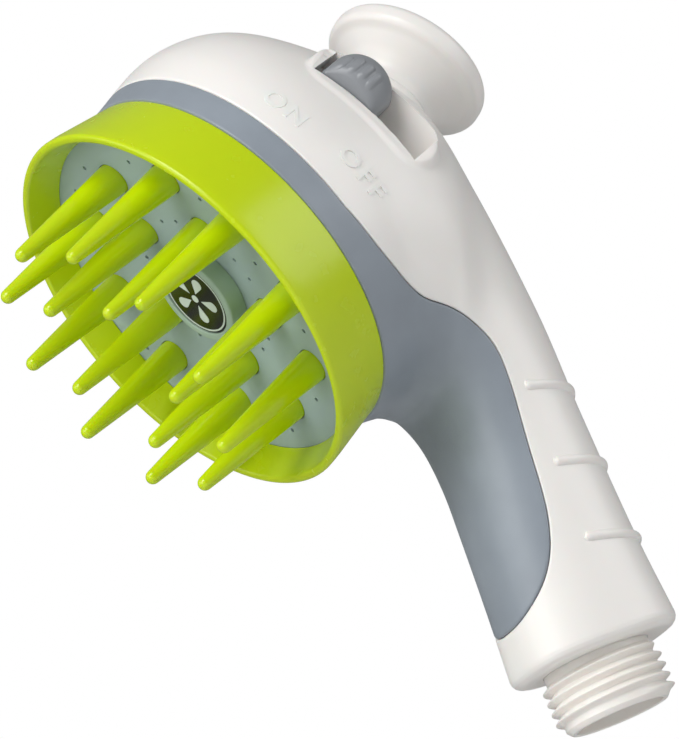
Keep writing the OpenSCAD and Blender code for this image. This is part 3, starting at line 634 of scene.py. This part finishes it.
def rectangle(half_x, half_y, r=0):
    """Outline of a rectangle round the origin, with corners of radius r."""
    return rounded([(-half_x, -half_y, r), (half_x, -half_y, r), (half_x, half_y, r),
                    (-half_x, half_y, r)], closed=True)


def join(pieces):
    """One object that holds the meshes of several."""
    first = pieces[0]
    with bpy.context.temp_override(active_object=first, selected_editable_objects=pieces):
        bpy.ops.object.join()
    return first


def combine(piece, tool, operation):
    """Cuts a tool from a piece, or adds it, and deletes the tool."""
    change = piece.modifiers.new("combine", "BOOLEAN")
    change.object = tool
    change.operation = operation
    change.solver = "MANIFOLD"
    bpy.context.view_layer.update()
    mesh = bpy.data.meshes.new_from_object(piece.evaluated_get(bpy.context.evaluated_depsgraph_get()))
    piece.modifiers.remove(change)
    piece.data = mesh
    bpy.data.objects.remove(tool)
    return piece


def finish_piece(piece, material, body, nodes=(), sharp=30):
    """Shades a piece, gives it its material and ties it to the frame."""
    piece.data.polygons.foreach_set("use_smooth", [True] * len(piece.data.polygons))
    piece.data.set_sharp_from_angle(angle=radians(sharp))
    piece.data.materials.clear()
    piece.data.materials.append(material)
    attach(piece, body)
    if nodes:
        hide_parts(*nodes)
    return piece


# ---------------------------------------------------------------- materials
def linear(r, g, b):
    """A colour given in 0 to 255 screen values."""
    def one(v):
        v /= 255
        return v / 12.92 if v <= 0.04045 else ((v + 0.055) / 1.055) ** 2.4
    return one(r), one(g), one(b)


def material(name, color, rough, tint=0.04, patch=28, grain=2600, bump=0.06, **sockets):
    """A moulded surface: cloudy colour, uneven gloss and a fine grain, all in object space."""
    look = bpy.data.materials.new(name)
    look.use_nodes = True
    tree = look.node_tree
    shader = tree.nodes["Principled BSDF"]
    for socket, value in sockets.items():
        shader.inputs[socket.replace("_", " ")].default_value = value
    place = tree.nodes.new("ShaderNodeTexCoord")

    def noise(scale, detail):
        node = tree.nodes.new("ShaderNodeTexNoise")
        node.inputs["Scale"].default_value = scale
        node.inputs["Detail"].default_value = detail
        tree.links.new(place.outputs["Object"], node.inputs["Vector"])
        return node.outputs["Fac"]

    base = np.array(linear(*color))
    ramp = tree.nodes.new("ShaderNodeValToRGB")
    for stop, place_at, share in ((0, 0.3, 1 - tint), (1, 0.7, 1 + tint)):
        ramp.color_ramp.elements[stop].position = place_at
        ramp.color_ramp.elements[stop].color = (*np.clip(base * share, 0, 1), 1)
    tree.links.new(noise(patch, 3), ramp.inputs["Fac"])
    tree.links.new(ramp.outputs["Color"], shader.inputs["Base Color"])

    gloss = tree.nodes.new("ShaderNodeMapRange")
    gloss.inputs["To Min"].default_value = max(rough - 0.05, 0.02)
    gloss.inputs["To Max"].default_value = rough + 0.05
    tree.links.new(noise(patch * 9, 4), gloss.inputs["Value"])
    tree.links.new(gloss.outputs["Result"], shader.inputs["Roughness"])

    relief = tree.nodes.new("ShaderNodeBump")
    relief.inputs["Strength"].default_value = bump
    relief.inputs["Distance"].default_value = 0.04 * MM
    tree.links.new(noise(grain, 2), relief.inputs["Height"])
    tree.links.new(relief.outputs["Normal"], shader.inputs["Normal"])
    return look


WHITE = material("white_plastic", (238, 235, 231), 0.33, tint=0.012, bump=0.05,
                 Subsurface_Weight=0.12, Subsurface_Scale=0.0015)
KNOB_WHITE = material("knob_plastic", (235, 232, 228), 0.38, tint=0.012, bump=0.05,
                      Subsurface_Weight=0.12, Subsurface_Scale=0.0015)
GRIP = material("grey_grip", (140, 148, 157), 0.36, tint=0.1, patch=60, grain=3400, bump=0.12)
RING = material("green_ring", (190, 212, 6), 0.26, tint=0.03, bump=0.05,
                Subsurface_Weight=0.1, Subsurface_Scale=0.001)
FINGERS = material("green_fingers", (192, 216, 4), 0.2, tint=0.03, bump=0.06,
                   Subsurface_Weight=0.2, Subsurface_Scale=0.0012)
PLATE = material("plate_grey", (162, 180, 182), 0.42, tint=0.03, bump=0.08)
HUB = material("hub_grey", (160, 180, 166), 0.4, tint=0.03, bump=0.06)
BADGE = material("badge_black", (12, 12, 14), 0.22, tint=0.2, bump=0.02)
PRINT = material("badge_print", (205, 216, 208), 0.4, tint=0.03, bump=0.04)
SWITCH_GREY = material("switch_grey", (137, 140, 144), 0.38, tint=0.04, bump=0.1)
INNER = material("inner_plastic", (222, 222, 218), 0.45, tint=0.03, bump=0.08)
INLET = material("inlet_plastic", (240, 236, 230), 0.3, tint=0.02, bump=0.05,
                 Subsurface_Weight=0.12, Subsurface_Scale=0.0015)
SEAL = material("seal_rubber", (38, 38, 40), 0.6, tint=0.15, bump=0.2)
TUBE = material("tube_rubber", (92, 94, 98), 0.5, tint=0.08, bump=0.15)
STEEL = material("steel", (188, 188, 192), 0.28, tint=0.08, patch=300, bump=0.1, Metallic=1.0)

NODE_LOOKS = {
    "plate_screw": STEEL, "chamber_screws": STEEL, "valve_screws": STEEL, "rod_clip": STEEL,
    "inlet_clamp": STEEL, "valve_clamp": STEEL, "knob_screw": STEEL, "knob_washer": STEEL,
    "plate_gasket": SEAL, "port_o_ring": SEAL, "spool_o_rings": SEAL, "rod_seal": SEAL,
    "water_chamber": INNER, "valve_body": INNER, "valve_spool": INNER, "valve_end_cap": INNER,
    "switch_arm": INNER, "water_tube": TUBE,
}
for node, look in NODE_LOOKS.items():
    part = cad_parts[node]
    part.data.materials.clear()
    part.data.materials.append(look)


# ---------------------------------------------------------------- the two shells
def body_core(inset):
    """Closed solid of the head and throat, moved in from the skin by inset."""
    rows, columns = 60, 96
    first_u, last_u = 0.4, 6
    u = np.repeat(np.linspace(first_u, last_u, rows), columns)
    a = np.tile(np.arange(columns) * 2 * pi / columns, rows)
    faces = [tuple(range(columns)), tuple(range((rows - 1) * columns, rows * columns))[::-1]]
    for i in range(rows - 1):
        for k in range(columns):
            m = (k + 1) % columns
            faces.append((i * columns + m, i * columns + k, (i + 1) * columns + k, (i + 1) * columns + m))
    core = new_piece("core", skin(u, a, inset), faces)
    outward(core)
    return core


def add_pocket(rear):
    """Pocket of the switch: a tray behind the slot, with a slit for the arm's stem."""
    tray_wall, tray_top = 1.5, 3
    cut_reach = 12
    half_w, half_len = slot_w / 2, slot_len / 2
    tray = prism("tray", rectangle(half_w + tray_wall, half_len + tray_wall, 0.5),
                 -pocket_depth - tray_wall, tray_top, SWITCH)
    combine(tray, body_core(wall / 2), "INTERSECT")
    combine(rear, tray, "UNION")
    slot = prism("slot", rectangle(half_w, half_len, 0.15), -pocket_depth, cut_reach, SWITCH)
    combine(rear, slot, "DIFFERENCE")
    slit = rectangle(stem_w / 2 + button_gap, (stem_len + travel) / 2 + button_gap, 0.3)
    combine(rear, prism("slit", slit, -cut_reach, 0, SWITCH), "DIFFERENCE")


def add_knob_boss(rear):
    """Boss inside the dome for the knob's screw, with its hole."""
    boss_r, boss_low, boss_high = 5, -5.4, -1.2
    combine(rear, prism("boss", circle(boss_r), boss_low, boss_high, KNOB), "UNION")
    combine(rear, prism("screw_hole", circle(big_screw_r + slip), -10, 3, KNOB), "DIFFERENCE")


def add_flange(front):
    """Inner flange of the front shell, which carries the water chamber on three screws."""
    flange_t, screw_gap = 2, 0.3
    high = -(ring_depth + 2.7)
    low = high - flange_t
    inner_r, outer_r = bezel_r - 8.3, bezel_r - wall + 0.6
    flange = lathe("flange", [(inner_r, high), (outer_r, high), (outer_r, low), (inner_r, low)],
                   HEAD, closed=True)
    combine(front, flange, "UNION")
    for angle in lug_angles:
        outline = circle(screw_r + screw_gap, *on_circle(lug_circle_r, angle), 24)
        combine(front, prism("hole", outline, -30, 0, HEAD), "DIFFERENCE")


def make_shells():
    """The front and the rear shell, with a narrow gap along the joint line."""
    u, a, tris = body_sheet()
    side = joint_distance(u, a)
    corner = tris[np.arange(len(tris)), np.abs(side[tris]).argmax(axis=1)]
    outside_gap = np.abs(side[tris]).max(axis=1) > joint_gap / 2 + 0.01
    front = closed_shell("front_shell_skin", u, a, tris[(side[corner] < 0) & outside_gap])
    rear = closed_shell("rear_shell_skin", u, a, tris[(side[corner] > 0) & outside_gap])
    outward(front)
    outward(rear)
    add_pocket(rear)
    add_knob_boss(rear)
    add_flange(front)
    return front, rear


front_shell, rear_shell = make_shells()
finish_piece(front_shell, GRIP, "housing", ["front_shell"], sharp=40)
finish_piece(rear_shell, WHITE, "housing", ["rear_shell"], sharp=40)


# ---------------------------------------------------------------- brush head
plate_r = bezel_r - 1.4
plate_z = -plate_inset
plate_mid_z = plate_z - plate_dish
flat_rim = 3.9
ring_bore_r = plate_r + slip
pad_z = plate_z - plate_t - face_gap
outer_circle_r = plate_r - outer_margin
inner_turn = finger_turn + 180 / outer_fingers
finger_seat_r = finger_base_r + 0.15
hub_front_z = plate_mid_z + hub_h
badge_z = hub_front_z - 0.25
cut_top = 5


def finger_circle(count, r, turn):
    return [on_circle(r, turn + i * 360 / count) for i in range(count)]


finger_places = finger_circle(outer_fingers, outer_circle_r, finger_turn)
finger_places += finger_circle(inner_fingers, inner_circle_r, inner_turn)

# Circles of spray holes: radius, half the gap of a pair of holes (0 for single ones), and
# 1 where they stand behind the inner fingers or 0 where they stand between them
spray_rows = [
    (inner_circle_r - 0.8, 2, 0),
    (inner_circle_r + 4.8, 0, 0),
    (outer_circle_r + 2.3, 0, 0),
    (outer_circle_r - 0.8, 0, 1),
    (outer_circle_r + 4.6, 4, 1),
]


def spray_places():
    """Places of the spray holes, without those that a lug of the chamber would cover."""
    lug_clear_r = 3.2
    lugs = [on_circle(lug_circle_r, angle) for angle in lug_angles]
    places = []
    for r, spread, behind in spray_rows:
        for i in range(inner_fingers):
            middle = inner_turn + (i + (1 - behind) / 2) * 360 / inner_fingers
            for s in ((-1, 1) if spread else (0,)):
                p = on_circle(r, middle + s * np.degrees(np.arcsin(spread / r)))
                if min(np.linalg.norm(p - lug) for lug in lugs) > lug_clear_r:
                    places.append(p)
    return places


def head_hole(r, place=(0, 0), count=48):
    """A cutter along the head's axis that goes through plate and pad."""
    return prism("hole", circle(r, *place, count), dome_z, cut_top, HEAD)


def make_ring():
    top_r = bezel_r + rim_flare
    profile = rounded([
        (ring_bore_r, dome_z, 0.1),
        (bezel_r - 0.3, dome_z, 0.3),
        (top_r - 0.25, -2.2, 14),
        (top_r, 0.3, 0.75),
        (top_r - 1.45, 0.3, 0.65),
        (bezel_r - 1.9, plate_z + face_gap, 0.15),
        (ring_bore_r, plate_z + face_gap, 0.1),
    ], closed=True, step=radians(9))
    return lathe("brush_ring_body", profile, HEAD, closed=True, segments=256)


def dished(r_out, z_edge, t):
    """Closed outline of the dished plate or pad."""
    z_mid = z_edge - plate_dish
    return rounded([
        (0, z_mid, 0), (hub_r + 0.2, z_mid, 3), (plate_r - flat_rim, z_edge, 6), (r_out, z_edge, 0.12),
        (r_out, z_edge - t, 0.1), (plate_r - flat_rim, z_edge - t, 6), (hub_r + 0.2, z_mid - t, 3),
        (0, z_mid - t, 0),
    ], step=radians(3))


def make_plate():
    plate = lathe("spray_plate_disc", dished(plate_r, plate_z, plate_t), HEAD)
    holes = [head_hole(finger_seat_r, p) for p in finger_places]
    holes += [head_hole(spray_hole_r, p, 20) for p in spray_places()]
    holes.append(head_hole(big_screw_r + slip))
    return combine(plate, join(holes), "DIFFERENCE")


def make_fingers():
    """The soft pad behind the plate, with its fingers and the holes behind the spray holes."""
    root_depth, straight_len = 0.5, 0.4
    root_z = pad_z - plate_dish - root_depth
    tip_r = finger_tip_r + 0.1
    tip_z = finger_reach + finger_tip_r - tip_r
    taper = (finger_base_r - tip_r) / (tip_z - plate_z)
    profile = rounded([
        (0, root_z, 0),
        (finger_base_r, root_z, 0),
        (finger_base_r, plate_z + straight_len, 9),
        (tip_r, tip_z + tip_r * taper, 0),
    ], step=radians(2))
    cap_turns = np.linspace(taper, pi / 2, 9)[1:-1]
    profile += [(tip_r * cos(t), tip_z + tip_r * sin(t)) for t in cap_turns]
    profile.append((0, tip_z + tip_r))
    fingers = []
    for p in finger_places:
        here = Frame(HEAD.out((*p, 0)), HEAD.turn)
        fingers.append(lathe("finger", profile, here, segments=56))
    pad = lathe("finger_pad_body", dished(plate_r - 0.6, pad_z, pad_t), HEAD)
    combine(pad, join(fingers), "UNION")
    pad_hole_r = spray_hole_r + 0.5
    holes = [head_hole(pad_hole_r, p, 20) for p in spray_places()]
    holes.append(head_hole(big_screw_r + slip))
    return combine(pad, join(holes), "DIFFERENCE")


def make_hub():
    """The hub's cap: a cup over the screw's head, with a recess for the badge."""
    floor = badge_z - badge_t
    floor_low = floor - 0.6
    cup_r = big_head_r + 0.3
    profile = rounded([
        (cup_r, plate_mid_z + face_gap, 0.1),
        (hub_r, plate_mid_z + face_gap, 0.15),
        (hub_r, hub_front_z, 0.45),
        (badge_r + slip, hub_front_z, 0.15),
        (badge_r + slip, floor - face_gap, 0),
        (0, floor - face_gap, 0),
        (0, floor_low, 0),
        (cup_r, floor_low, 0),
    ], closed=True)
    return lathe("hub_cap_body", profile, HEAD, closed=True)


def make_badge():
    profile = rounded([(0, badge_z - badge_t, 0), (badge_r, badge_z - badge_t, 0),
                       (badge_r, badge_z, 0.15), (0, badge_z, 0)])
    return lathe("badge_disc_face", profile, HEAD)


def drop(length, r, reach, degrees):
    """Outline of a water drop whose point looks at the centre."""
    tip = (reach - length + r, 0)
    side = acos(r / (length - r))
    arc = np.linspace(-(pi - side), pi - side, 25)
    shape = np.array([tip] + [(reach + r * cos(t), r * sin(t)) for t in arc])
    turn = radians(degrees)
    spun = np.array([[cos(turn), sin(turn)], [-sin(turn), cos(turn)]])
    return shape @ spun


def make_print():
    """Five water drops round a dot, inside a thin pale line."""
    drops, drop_turn = 5, 18
    drop_len, drop_r, drop_reach = 3.6, 1.05, 3.9
    dot_r, print_t = 0.75, 0.05
    line_r = badge_r - 0.35
    line_in = line_r - 0.3
    low, high = badge_z - print_t, badge_z + print_t
    shapes = []
    for k in range(drops):
        outline = drop(drop_len, drop_r, drop_reach, drop_turn + k * 360 / drops)
        shapes.append(prism("drop", outline, low, high, HEAD))
    shapes.append(prism("dot", circle(dot_r), low, high, HEAD))
    line = [(line_r, low), (line_r, high), (line_in, high), (line_in, low)]
    shapes.append(lathe("line", line, HEAD, closed=True))
    marks = join(shapes)
    marks.name = "badge_print"
    return marks


finish_piece(make_ring(), RING, "housing", ["brush_ring"])
finish_piece(make_plate(), PLATE, "housing", ["spray_plate"])
finish_piece(make_fingers(), FINGERS, "housing", ["finger_pad"])
finish_piece(make_hub(), HUB, "housing", ["hub_cap"])
finish_piece(make_badge(), BADGE, "housing", ["badge_disc"])
finish_piece(make_print(), PRINT, "housing")


# ---------------------------------------------------------------- switch button
side_z = 0.4           # height of the button's top at its two ends
button_edge_r = 0.8
crown_x = 1            # the button's top is highest here, towards the knob
crown_spread = 10      # and falls by the square of the distance over this
ridge_count = 4
ridge_step = 1.97
ridge_shift = 1.4      # towards ON
ridge_x = -1.6
ridge_half_len = 1
ridge_half_w = 0.74
ridge_rise = 0.45


def ridge_heights(x, y):
    """Height of the four short ridges over the button's top."""
    height = 0
    past_end = np.maximum(np.abs(x - ridge_x) - ridge_half_len, 0)
    for k in range(ridge_count):
        middle = ridge_shift + (k - (ridge_count - 1) / 2) * ridge_step
        away = np.hypot(y - middle, past_end) / ridge_half_w
        height = height + ridge_rise * np.maximum(1 - away**2, 0) ** 0.8
    return height


def make_button():
    """Domed button that leans to the spray side, with vertical flanks and four short ridges."""
    columns, rows = 72, 132
    row_crowding = 1.2    # above 1 draws the rows together at the ends
    half = button_len / 2
    foot_z = -pocket_depth + button_gap
    arc_r = (half**2 + (button_rise - side_z) ** 2) / (2 * (button_rise - side_z))
    s = np.sin(np.linspace(-pi / 2, pi / 2, columns + 1))
    t = np.linspace(-1, 1, rows + 1)
    t = np.sign(t) * (1 - (1 - np.abs(t)) ** row_crowding)
    x, y = np.meshgrid(s * button_w / 2, t * half, indexing="ij")
    edge = edge_round(button_w / 2 - np.abs(x), button_edge_r)
    top = button_rise - arc_r + np.sqrt(np.maximum(arc_r**2 - y**2, 0))
    top = top - edge - (x - crown_x) ** 2 / crown_spread + ridge_heights(x, y)
    top = np.maximum(top, side_z - 1 - edge)
    grid = np.stack([x, y, top], axis=-1).reshape(-1, 3)
    n = len(grid)
    low = grid.copy()
    low[:, 2] = foot_z
    index = np.arange(n).reshape(columns + 1, rows + 1)
    faces = []
    for i in range(columns):
        for j in range(rows):
            q = (index[i, j], index[i + 1, j], index[i + 1, j + 1], index[i, j + 1])
            faces.append(q)
            faces.append(tuple(v + n for v in q[::-1]))
    border = [*index[:-1, 0], *index[-1, :-1], *index[:0:-1, -1], *index[0, :0:-1]]
    faces += [(p, p + n, q + n, q) for p, q in zip(border, border[1:] + border[:1])]
    place = SWITCH.child((0, on_y, 0), np.eye(3))
    piece = new_piece("switch_button_cap", grid.tolist() + low.tolist(), faces, place)
    outward(piece)
    stem = rectangle(stem_w / 2 + snug_gap, stem_len / 2 + snug_gap)
    return combine(piece, prism("stem", stem, -10, -1.5, place), "DIFFERENCE")


finish_piece(make_button(), SWITCH_GREY, "switch", ["switch_button"], sharp=50)


# ---------------------------------------------------------------- inlet and knob
thread_start = 1.3
thread_fade = 1 / 6    # turns in which the thread rises to its full depth


def thread_push(points):
    """Moves the neck's points out to a rounded right-hand thread."""
    r = np.hypot(points[:, 0], points[:, 1])
    z = points[:, 2]
    turn = np.arctan2(points[:, 1], points[:, 0]) % (2 * pi) / (2 * pi)
    rise = np.zeros(len(points))
    for k in range(-1, int(thread_turns) + 2):
        wound = turn + k
        across = (z - thread_start - wound * thread_pitch) / thread_pitch
        fade = np.clip(np.minimum(wound, thread_turns - wound) / thread_fade, 0, 1)
        profile = 0.5 + 0.5 * np.cos(2 * pi * np.clip(across, -0.5, 0.5))
        rise = np.maximum(rise, thread_depth * profile * smooth(fade))
    on_neck = np.abs(r - thread_root_r) < TINY
    scale = np.where(on_neck, (r + rise) / np.maximum(r, TINY), 1)
    return points * np.stack([scale, scale, np.ones(len(points))], axis=1)


def make_inlet():
    """The threaded neck with its bore, the flange on the heel's floor and the tube's barb."""
    seat_z = floor_z + face_gap
    flange_top = seat_z + 2.4
    flange_r = heel_half_w - wall - 0.3
    barb_r = tube_r - tube_wall - face_gap
    barb_bore_r = barb_r - 1.2
    barb_top = flange_top + 9
    bore_end = heel_z + 0.5
    neck_start, ring_step = 0.85, 0.075
    profile = rounded([
        (inlet_bore_r, bore_end, 0.2),
        (inlet_bore_r, 0, 0.25),
        (inlet_bore_r + 0.9, 0, 0.2),
        (thread_root_r - 0.02, 0.8, 0),
    ])
    profile += [(thread_root_r, z) for z in np.arange(neck_start, heel_z, ring_step)]
    profile += rounded([
        (thread_root_r - 0.01, seat_z, 0), (flange_r, seat_z, 0.2),
        (flange_r, flange_top, 0.3), (barb_r, flange_top, 0.3),
        (barb_r, barb_top, 0.5), (barb_bore_r, barb_top, 0.2), (barb_bore_r, bore_end, 0.1),
        (inlet_bore_r, bore_end + 0.001, 0),
    ])
    # the last point repeats the first, where the outline closes, so it is left out
    return lathe("inlet_fitting_body", profile[:-1], closed=True, segments=288, push=thread_push)


def make_knob():
    """Hanger knob: a neck that flares out to a rim with a rolled cap."""
    low = knob_seat_z + face_gap
    rim = knob_reach
    top = rim + knob_rim
    profile = rounded([
        (0, low, 0),
        (knob_neck_r, low, 0.1),
        (knob_neck_r, low + 2, 4),
        (knob_neck_r + 1.6, rim - 3, 6),
        (knob_neck_r + 4.2, rim - 0.9, 3),
        (knob_r, rim - 0.2, 1.7),
        (knob_r, top - 0.2, 1.9),
        (knob_r * 0.62, top + 1.15, 16),
        (0, top + 1.7, 0),
    ], step=radians(5))
    knob = lathe("hanger_knob_body", profile, KNOB)
    return combine(knob, prism("hole", circle(big_screw_r + snug_gap), -1, rim, KNOB), "DIFFERENCE")


finish_piece(make_inlet(), INLET, "housing", ["inlet_fitting"], sharp=50)
finish_piece(make_knob(), KNOB_WHITE, "housing", ["hanger_knob"])


# ---------------------------------------------------------------- ON and OFF marks
def on_flank(y, z):
    """Skin parameters (u, a) of points given by their place in the head's side view, found by
    Newton's rule from the middle of the dome's flank."""
    u, a = np.full(len(y), 2.0), np.full(len(y), radians(75))
    step = 1e-4
    rounds = 12
    for _ in range(rounds):
        here = HEAD.into(skin(u, a))
        du = (HEAD.into(skin(u + step, a)) - here) / step
        da = (HEAD.into(skin(u, a + step)) - here) / step
        ey, ez = y - here[:, 1], z - here[:, 2]
        det = du[:, 1] * da[:, 2] - du[:, 2] * da[:, 1]
        u = u + (ey * da[:, 2] - ez * da[:, 1]) / det
        a = a + (du[:, 1] * ez - du[:, 2] * ey) / det
    return u, a


def make_mark(word, start_y, base_z, height, relief):
    """Raised letters on the dome's flank, read along the handle. height is a capital's."""
    capital_share = 0.72    # a capital's height as a share of the font's size
    root = 0.4              # the letters start this deep in the wall
    text = bpy.data.curves.new(word, "FONT")
    text.body = word
    text.size = height / capital_share
    text.space_character = 1.25
    text.offset = 0.1
    text.extrude = 0.5
    text.resolution_u = 4
    source = bpy.data.objects.new(word, text)
    bpy.context.scene.collection.objects.link(source)
    bpy.context.view_layer.update()
    mesh = bpy.data.meshes.new_from_object(source.evaluated_get(bpy.context.evaluated_depsgraph_get()))
    bpy.data.objects.remove(source)
    flat = np.array([v.co[:] for v in mesh.vertices])
    u, a = on_flank(start_y - flat[:, 0], base_z - flat[:, 1])
    points = skin(u, a, np.where(flat[:, 2] > 0, -relief, root))
    return new_piece("mark_" + word.lower(), points, [p.vertices[:] for p in mesh.polygons])


finish_piece(make_mark("ON", 14.4, -21.6, 3.4, 0.12), WHITE, "housing")
finish_piece(make_mark("OFF", -0.6, -23.4, 3.6, 0.2), WHITE, "housing")


# ---------------------------------------------------------------- stage, lights and camera
def backdrop_look():
    """Floor that the camera sees as pale all over, and that still takes a soft shadow."""
    pale_share = 0.7
    look = bpy.data.materials.new("floor")
    look.use_nodes = True
    nodes, links = look.node_tree.nodes, look.node_tree.links
    shader = nodes["Principled BSDF"]
    shader.inputs["Base Color"].default_value = (0.86, 0.86, 0.86, 1)
    shader.inputs["Roughness"].default_value = 0.9
    pale = nodes.new("ShaderNodeEmission")
    pale.inputs["Color"].default_value = (0.97, 0.97, 0.97, 1)
    rays = nodes.new("ShaderNodeLightPath")
    share = nodes.new("ShaderNodeMath")
    share.operation = "MULTIPLY"
    share.inputs[1].default_value = pale_share
    links.new(rays.outputs["Is Camera Ray"], share.inputs[0])
    mix = nodes.new("ShaderNodeMixShader")
    links.new(share.outputs[0], mix.inputs["Fac"])
    links.new(shader.outputs[0], mix.inputs[1])
    links.new(pale.outputs[0], mix.inputs[2])
    links.new(mix.outputs[0], nodes["Material Output"].inputs["Surface"])
    return look


def make_floor():
    drop_z = -0.2
    bpy.ops.mesh.primitive_plane_add(size=6, location=(0, 0, drop_z))
    floor = bpy.context.object
    floor.name = "floor"
    floor.data.materials.append(backdrop_look())


def make_world():
    """Soft light all round, behind which camera and clear materials see plain white."""
    world = bpy.data.worlds.new("studio")
    bpy.context.scene.world = world
    world.use_nodes = True
    tree = world.node_tree
    nodes, links = tree.nodes, tree.links
    nodes.clear()
    soft = nodes.new("ShaderNodeBackground")
    soft.inputs["Color"].default_value = (0.97, 0.985, 1, 1)
    soft.inputs["Strength"].default_value = 0.22
    plain = nodes.new("ShaderNodeBackground")
    plain.inputs["Color"].default_value = (1, 1, 1, 1)
    plain.inputs["Strength"].default_value = 1
    rays = nodes.new("ShaderNodeLightPath")
    seen = nodes.new("ShaderNodeMath")
    seen.operation = "MAXIMUM"
    links.new(rays.outputs["Is Camera Ray"], seen.inputs[0])
    links.new(rays.outputs["Is Transmission Ray"], seen.inputs[1])
    mix = nodes.new("ShaderNodeMixShader")
    links.new(seen.outputs[0], mix.inputs["Fac"])
    links.new(soft.outputs[0], mix.inputs[1])
    links.new(plain.outputs[0], mix.inputs[2])
    output = nodes.new("ShaderNodeOutputWorld")
    links.new(mix.outputs[0], output.inputs["Surface"])


def make_light(name, place, target, size, power):
    """A white area lamp that looks at target."""
    lamp = bpy.data.lights.new(name, "AREA")
    lamp.shape = "RECTANGLE"
    lamp.size, lamp.size_y = size
    lamp.energy = power
    light = bpy.data.objects.new(name, lamp)
    light.location = place
    light.rotation_euler = (Vector(target) - Vector(place)).to_track_quat("-Z", "Y").to_euler()
    bpy.context.scene.collection.objects.link(light)


def make_camera():
    """A long lens on the switch's side, a little below and in front of the part."""
    frame_height_px = 739
    focal_px = 3500
    sensor = 36
    place = Vector((0.51364, -0.26885, -0.06740))
    ahead = Vector((-0.8763, 0.4200, 0.2355)).normalized()
    up = Vector((0.3641, 0.2575, 0.8950))
    right = ahead.cross(up).normalized()
    up = right.cross(ahead)
    lens = bpy.data.cameras.new("camera")
    lens.sensor_fit = "VERTICAL"
    lens.sensor_height = sensor
    lens.lens = sensor * focal_px / frame_height_px
    lens.clip_start = 0.01
    camera = bpy.data.objects.new("camera", lens)
    camera.matrix_world = Matrix((
        (right.x, up.x, -ahead.x, place.x),
        (right.y, up.y, -ahead.y, place.y),
        (right.z, up.z, -ahead.z, place.z),
        (0, 0, 0, 1),
    ))
    bpy.context.scene.collection.objects.link(camera)
    bpy.context.scene.camera = camera


middle = (0, -0.02, 0.07)
make_floor()
make_world()
make_light("key", (0.55, -0.5, 0.6), middle, (0.45, 0.45), 4.9)
make_light("side", (0.3, -0.8, 0.25), middle, (0.5, 0.5), 1.9)
make_light("front", (-0.1, -0.75, 0.4), middle, (0.5, 0.5), 1.2)
make_light("right", (0.5, 0.6, 0.2), middle, (0.5, 0.5), 1.7)
make_camera()
bpy.context.scene.view_settings.view_transform = "Standard"
